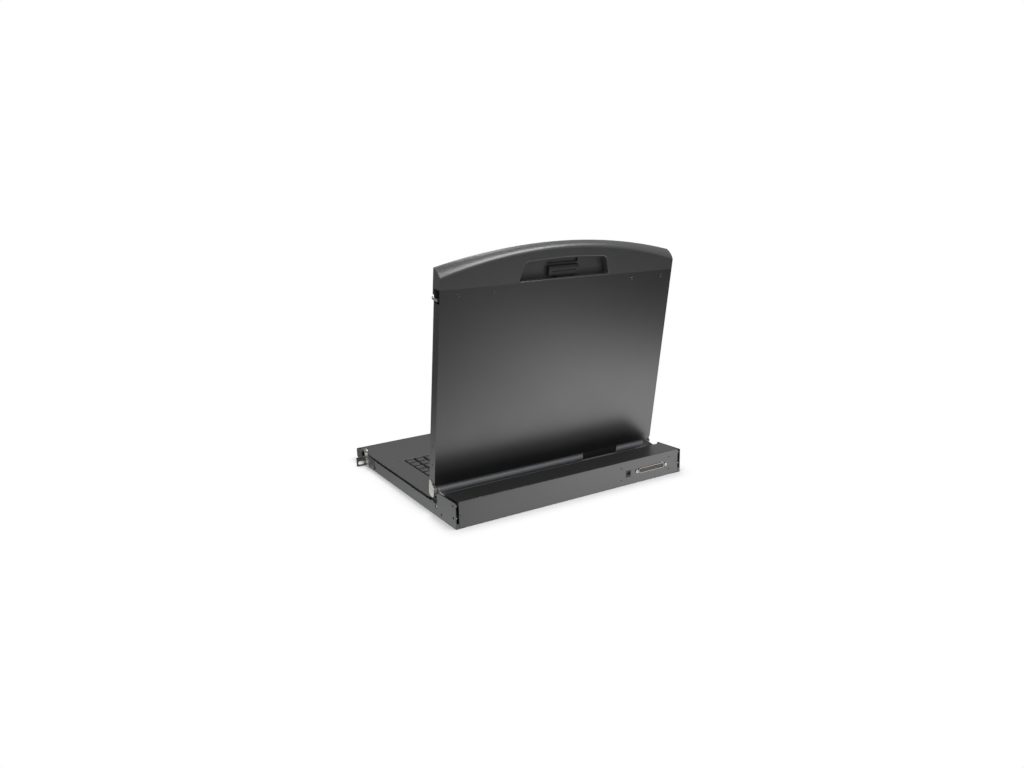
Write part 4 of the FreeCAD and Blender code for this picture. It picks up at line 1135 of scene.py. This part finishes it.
def floor_finish(paleness):
    """Pale floor: white to the camera apart from soft shadows, pools of light to gloss."""
    finish = Finish("pale_floor")
    camera, gloss = finish.rays()
    x, y, _ = finish.axes()
    beside_x = (x.size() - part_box("side_rail_right")[1].x).maths("MAXIMUM", 0.0)
    beside_y = (y.size() - CAD_BOX[1].y).maths("MAXIMUM", 0.0)
    close = falloff(beside_x * beside_x + beside_y * beside_y, SHADOW_REACH)
    behind = pool(x, y, POOL_BEHIND, (y * 4.4 - 1.1).maths("MAXIMUM", 0.30)) * 1.5
    beside = pool(x, y, POOL_BESIDE) * 0.40
    emission = finish.node("ShaderNodeEmission", Color=(1.0, 1.0, 1.0),
                           Strength=camera + gloss * (behind + beside + 0.13))
    diffuse = finish.node("ShaderNodeBsdfDiffuse", Color=(paleness,) * 3)
    both = finish.node("ShaderNodeMixShader", Fac=(camera * (1 - close) + gloss).clamp())
    finish.plug(both.inputs[1], diffuse)
    finish.plug(both.inputs[2], emission)
    finish.plug(finish.tree.nodes["Material Output"].inputs["Surface"], both)
    finish.tree.nodes.remove(finish.shader)
    return finish.material


class BuildStage(bpy.types.Operator):
    """Floor, room light, lamps and camera"""

    bl_idname = "console.build_stage"
    bl_label = "Stage"

    def execute(self, context):
        settings = context.scene.console_stage
        self.floor(settings)
        self.room(settings)
        self.lamps(settings)
        self.camera()
        context.scene.view_settings.view_transform = "Standard"
        return {"FINISHED"}

    @staticmethod
    def floor(settings):
        mesh = bpy.data.meshes.new("floor")
        corners = ((-1, -1), (1, -1), (1, 1), (-1, 1))
        mesh.from_pydata([(x * FLOOR_REACH, y * FLOOR_REACH, 0) for x, y in corners], [],
                         [(0, 1, 2, 3)])
        floor = placed("floor", mesh)
        wear(floor, floor_finish(settings.floor))

    @staticmethod
    def room(settings):
        """Even room light, white to the camera and a little darker in gloss."""
        world = bpy.data.worlds.new("room")
        world.use_nodes = True
        bpy.context.scene.world = world
        graph = Graph(world.node_tree)
        camera, gloss = graph.rays()
        background = world.node_tree.nodes["Background"]
        graph.plug(background.inputs["Color"], (1.0, 1.0, 1.0))
        graph.plug(background.inputs["Strength"],
                   settings.ambient + camera * (1 - settings.ambient) - gloss * 0.12)

    @staticmethod
    def lamps(settings):
        for name, place, target, sides in LAMPS:
            data = bpy.data.lights.new(name, "AREA")
            data.shape = "RECTANGLE"
            data.size, data.size_y = sides
            data.energy = getattr(settings, name + "_power")
            lamp = placed(name, data)
            lamp.visible_camera = False
            lamp.location = place
            lamp.rotation_mode = "QUATERNION"
            lamp.rotation_quaternion = (Vector(target) - Vector(place)).to_track_quat("-Z", "Y")

    @staticmethod
    def camera():
        """View from behind, to the user's right and a little above."""
        data = bpy.data.cameras.new("camera")
        data.sensor_width = 36.0
        data.lens = 28.86
        data.clip_start, data.clip_end = 0.05, 30.0
        place = Vector((0.7389, REAR_Y + 1.0223, 0.4997))
        forward = Vector((-0.5038, -0.8310, -0.2359)).normalized()
        roll = math.radians(-1.4)
        level = forward.cross(UP).normalized()
        upright = level.cross(forward)
        across = level * math.cos(roll) + upright * math.sin(roll)
        above = upright * math.cos(roll) - level * math.sin(roll)
        camera = placed("camera", data)
        turn = Matrix((across, above, -forward)).transposed().to_4x4()
        camera.matrix_world = Matrix.Translation(place) @ turn
        bpy.context.scene.camera = camera


class ConsolePanel(bpy.types.Panel):
    """Lists the drawer's settings and its builders"""

    bl_idname = "VIEW3D_PT_console"
    bl_label = "Console Drawer"
    bl_space_type = "VIEW_3D"
    bl_region_type = "UI"
    bl_category = "Console Drawer"

    def draw(self, context):
        for group in ("console_finish", "console_detail", "console_stage"):
            settings = getattr(context.scene, group)
            box = self.layout.box()
            for name in settings.__annotations__:
                box.prop(settings, name)
        for operator in OPERATORS:
            self.layout.operator(operator.bl_idname)


SETTINGS = {"console_finish": FinishSettings, "console_detail": DetailSettings,
            "console_stage": StageSettings}
OPERATORS = (DressFrame, RoundSheet, RoundPlastic, MakeKeys, MakeScrews, MakeConnector,
             MakeFootLip, MakeSlides, BuildStage)


def register():
    for cls in (*SETTINGS.values(), *OPERATORS, ConsolePanel):
        bpy.utils.register_class(cls)
    for name, cls in SETTINGS.items():
        setattr(bpy.types.Scene, name, bpy.props.PointerProperty(type=cls))


def unregister():
    for name in SETTINGS:
        delattr(bpy.types.Scene, name)
    for cls in (ConsolePanel, *OPERATORS, *SETTINGS.values()):
        bpy.utils.unregister_class(cls)


def main():
    register()
    bpy.ops.console.dress_frame()
    bpy.ops.console.round_sheet()
    bpy.ops.console.round_plastic()
    bpy.ops.console.make_keys()
    bpy.ops.console.make_screws()
    bpy.ops.console.make_connector()
    bpy.ops.console.make_foot_lip()
    bpy.ops.console.make_slides()
    bpy.ops.console.build_stage()


if __name__ == "__main__":
    main()
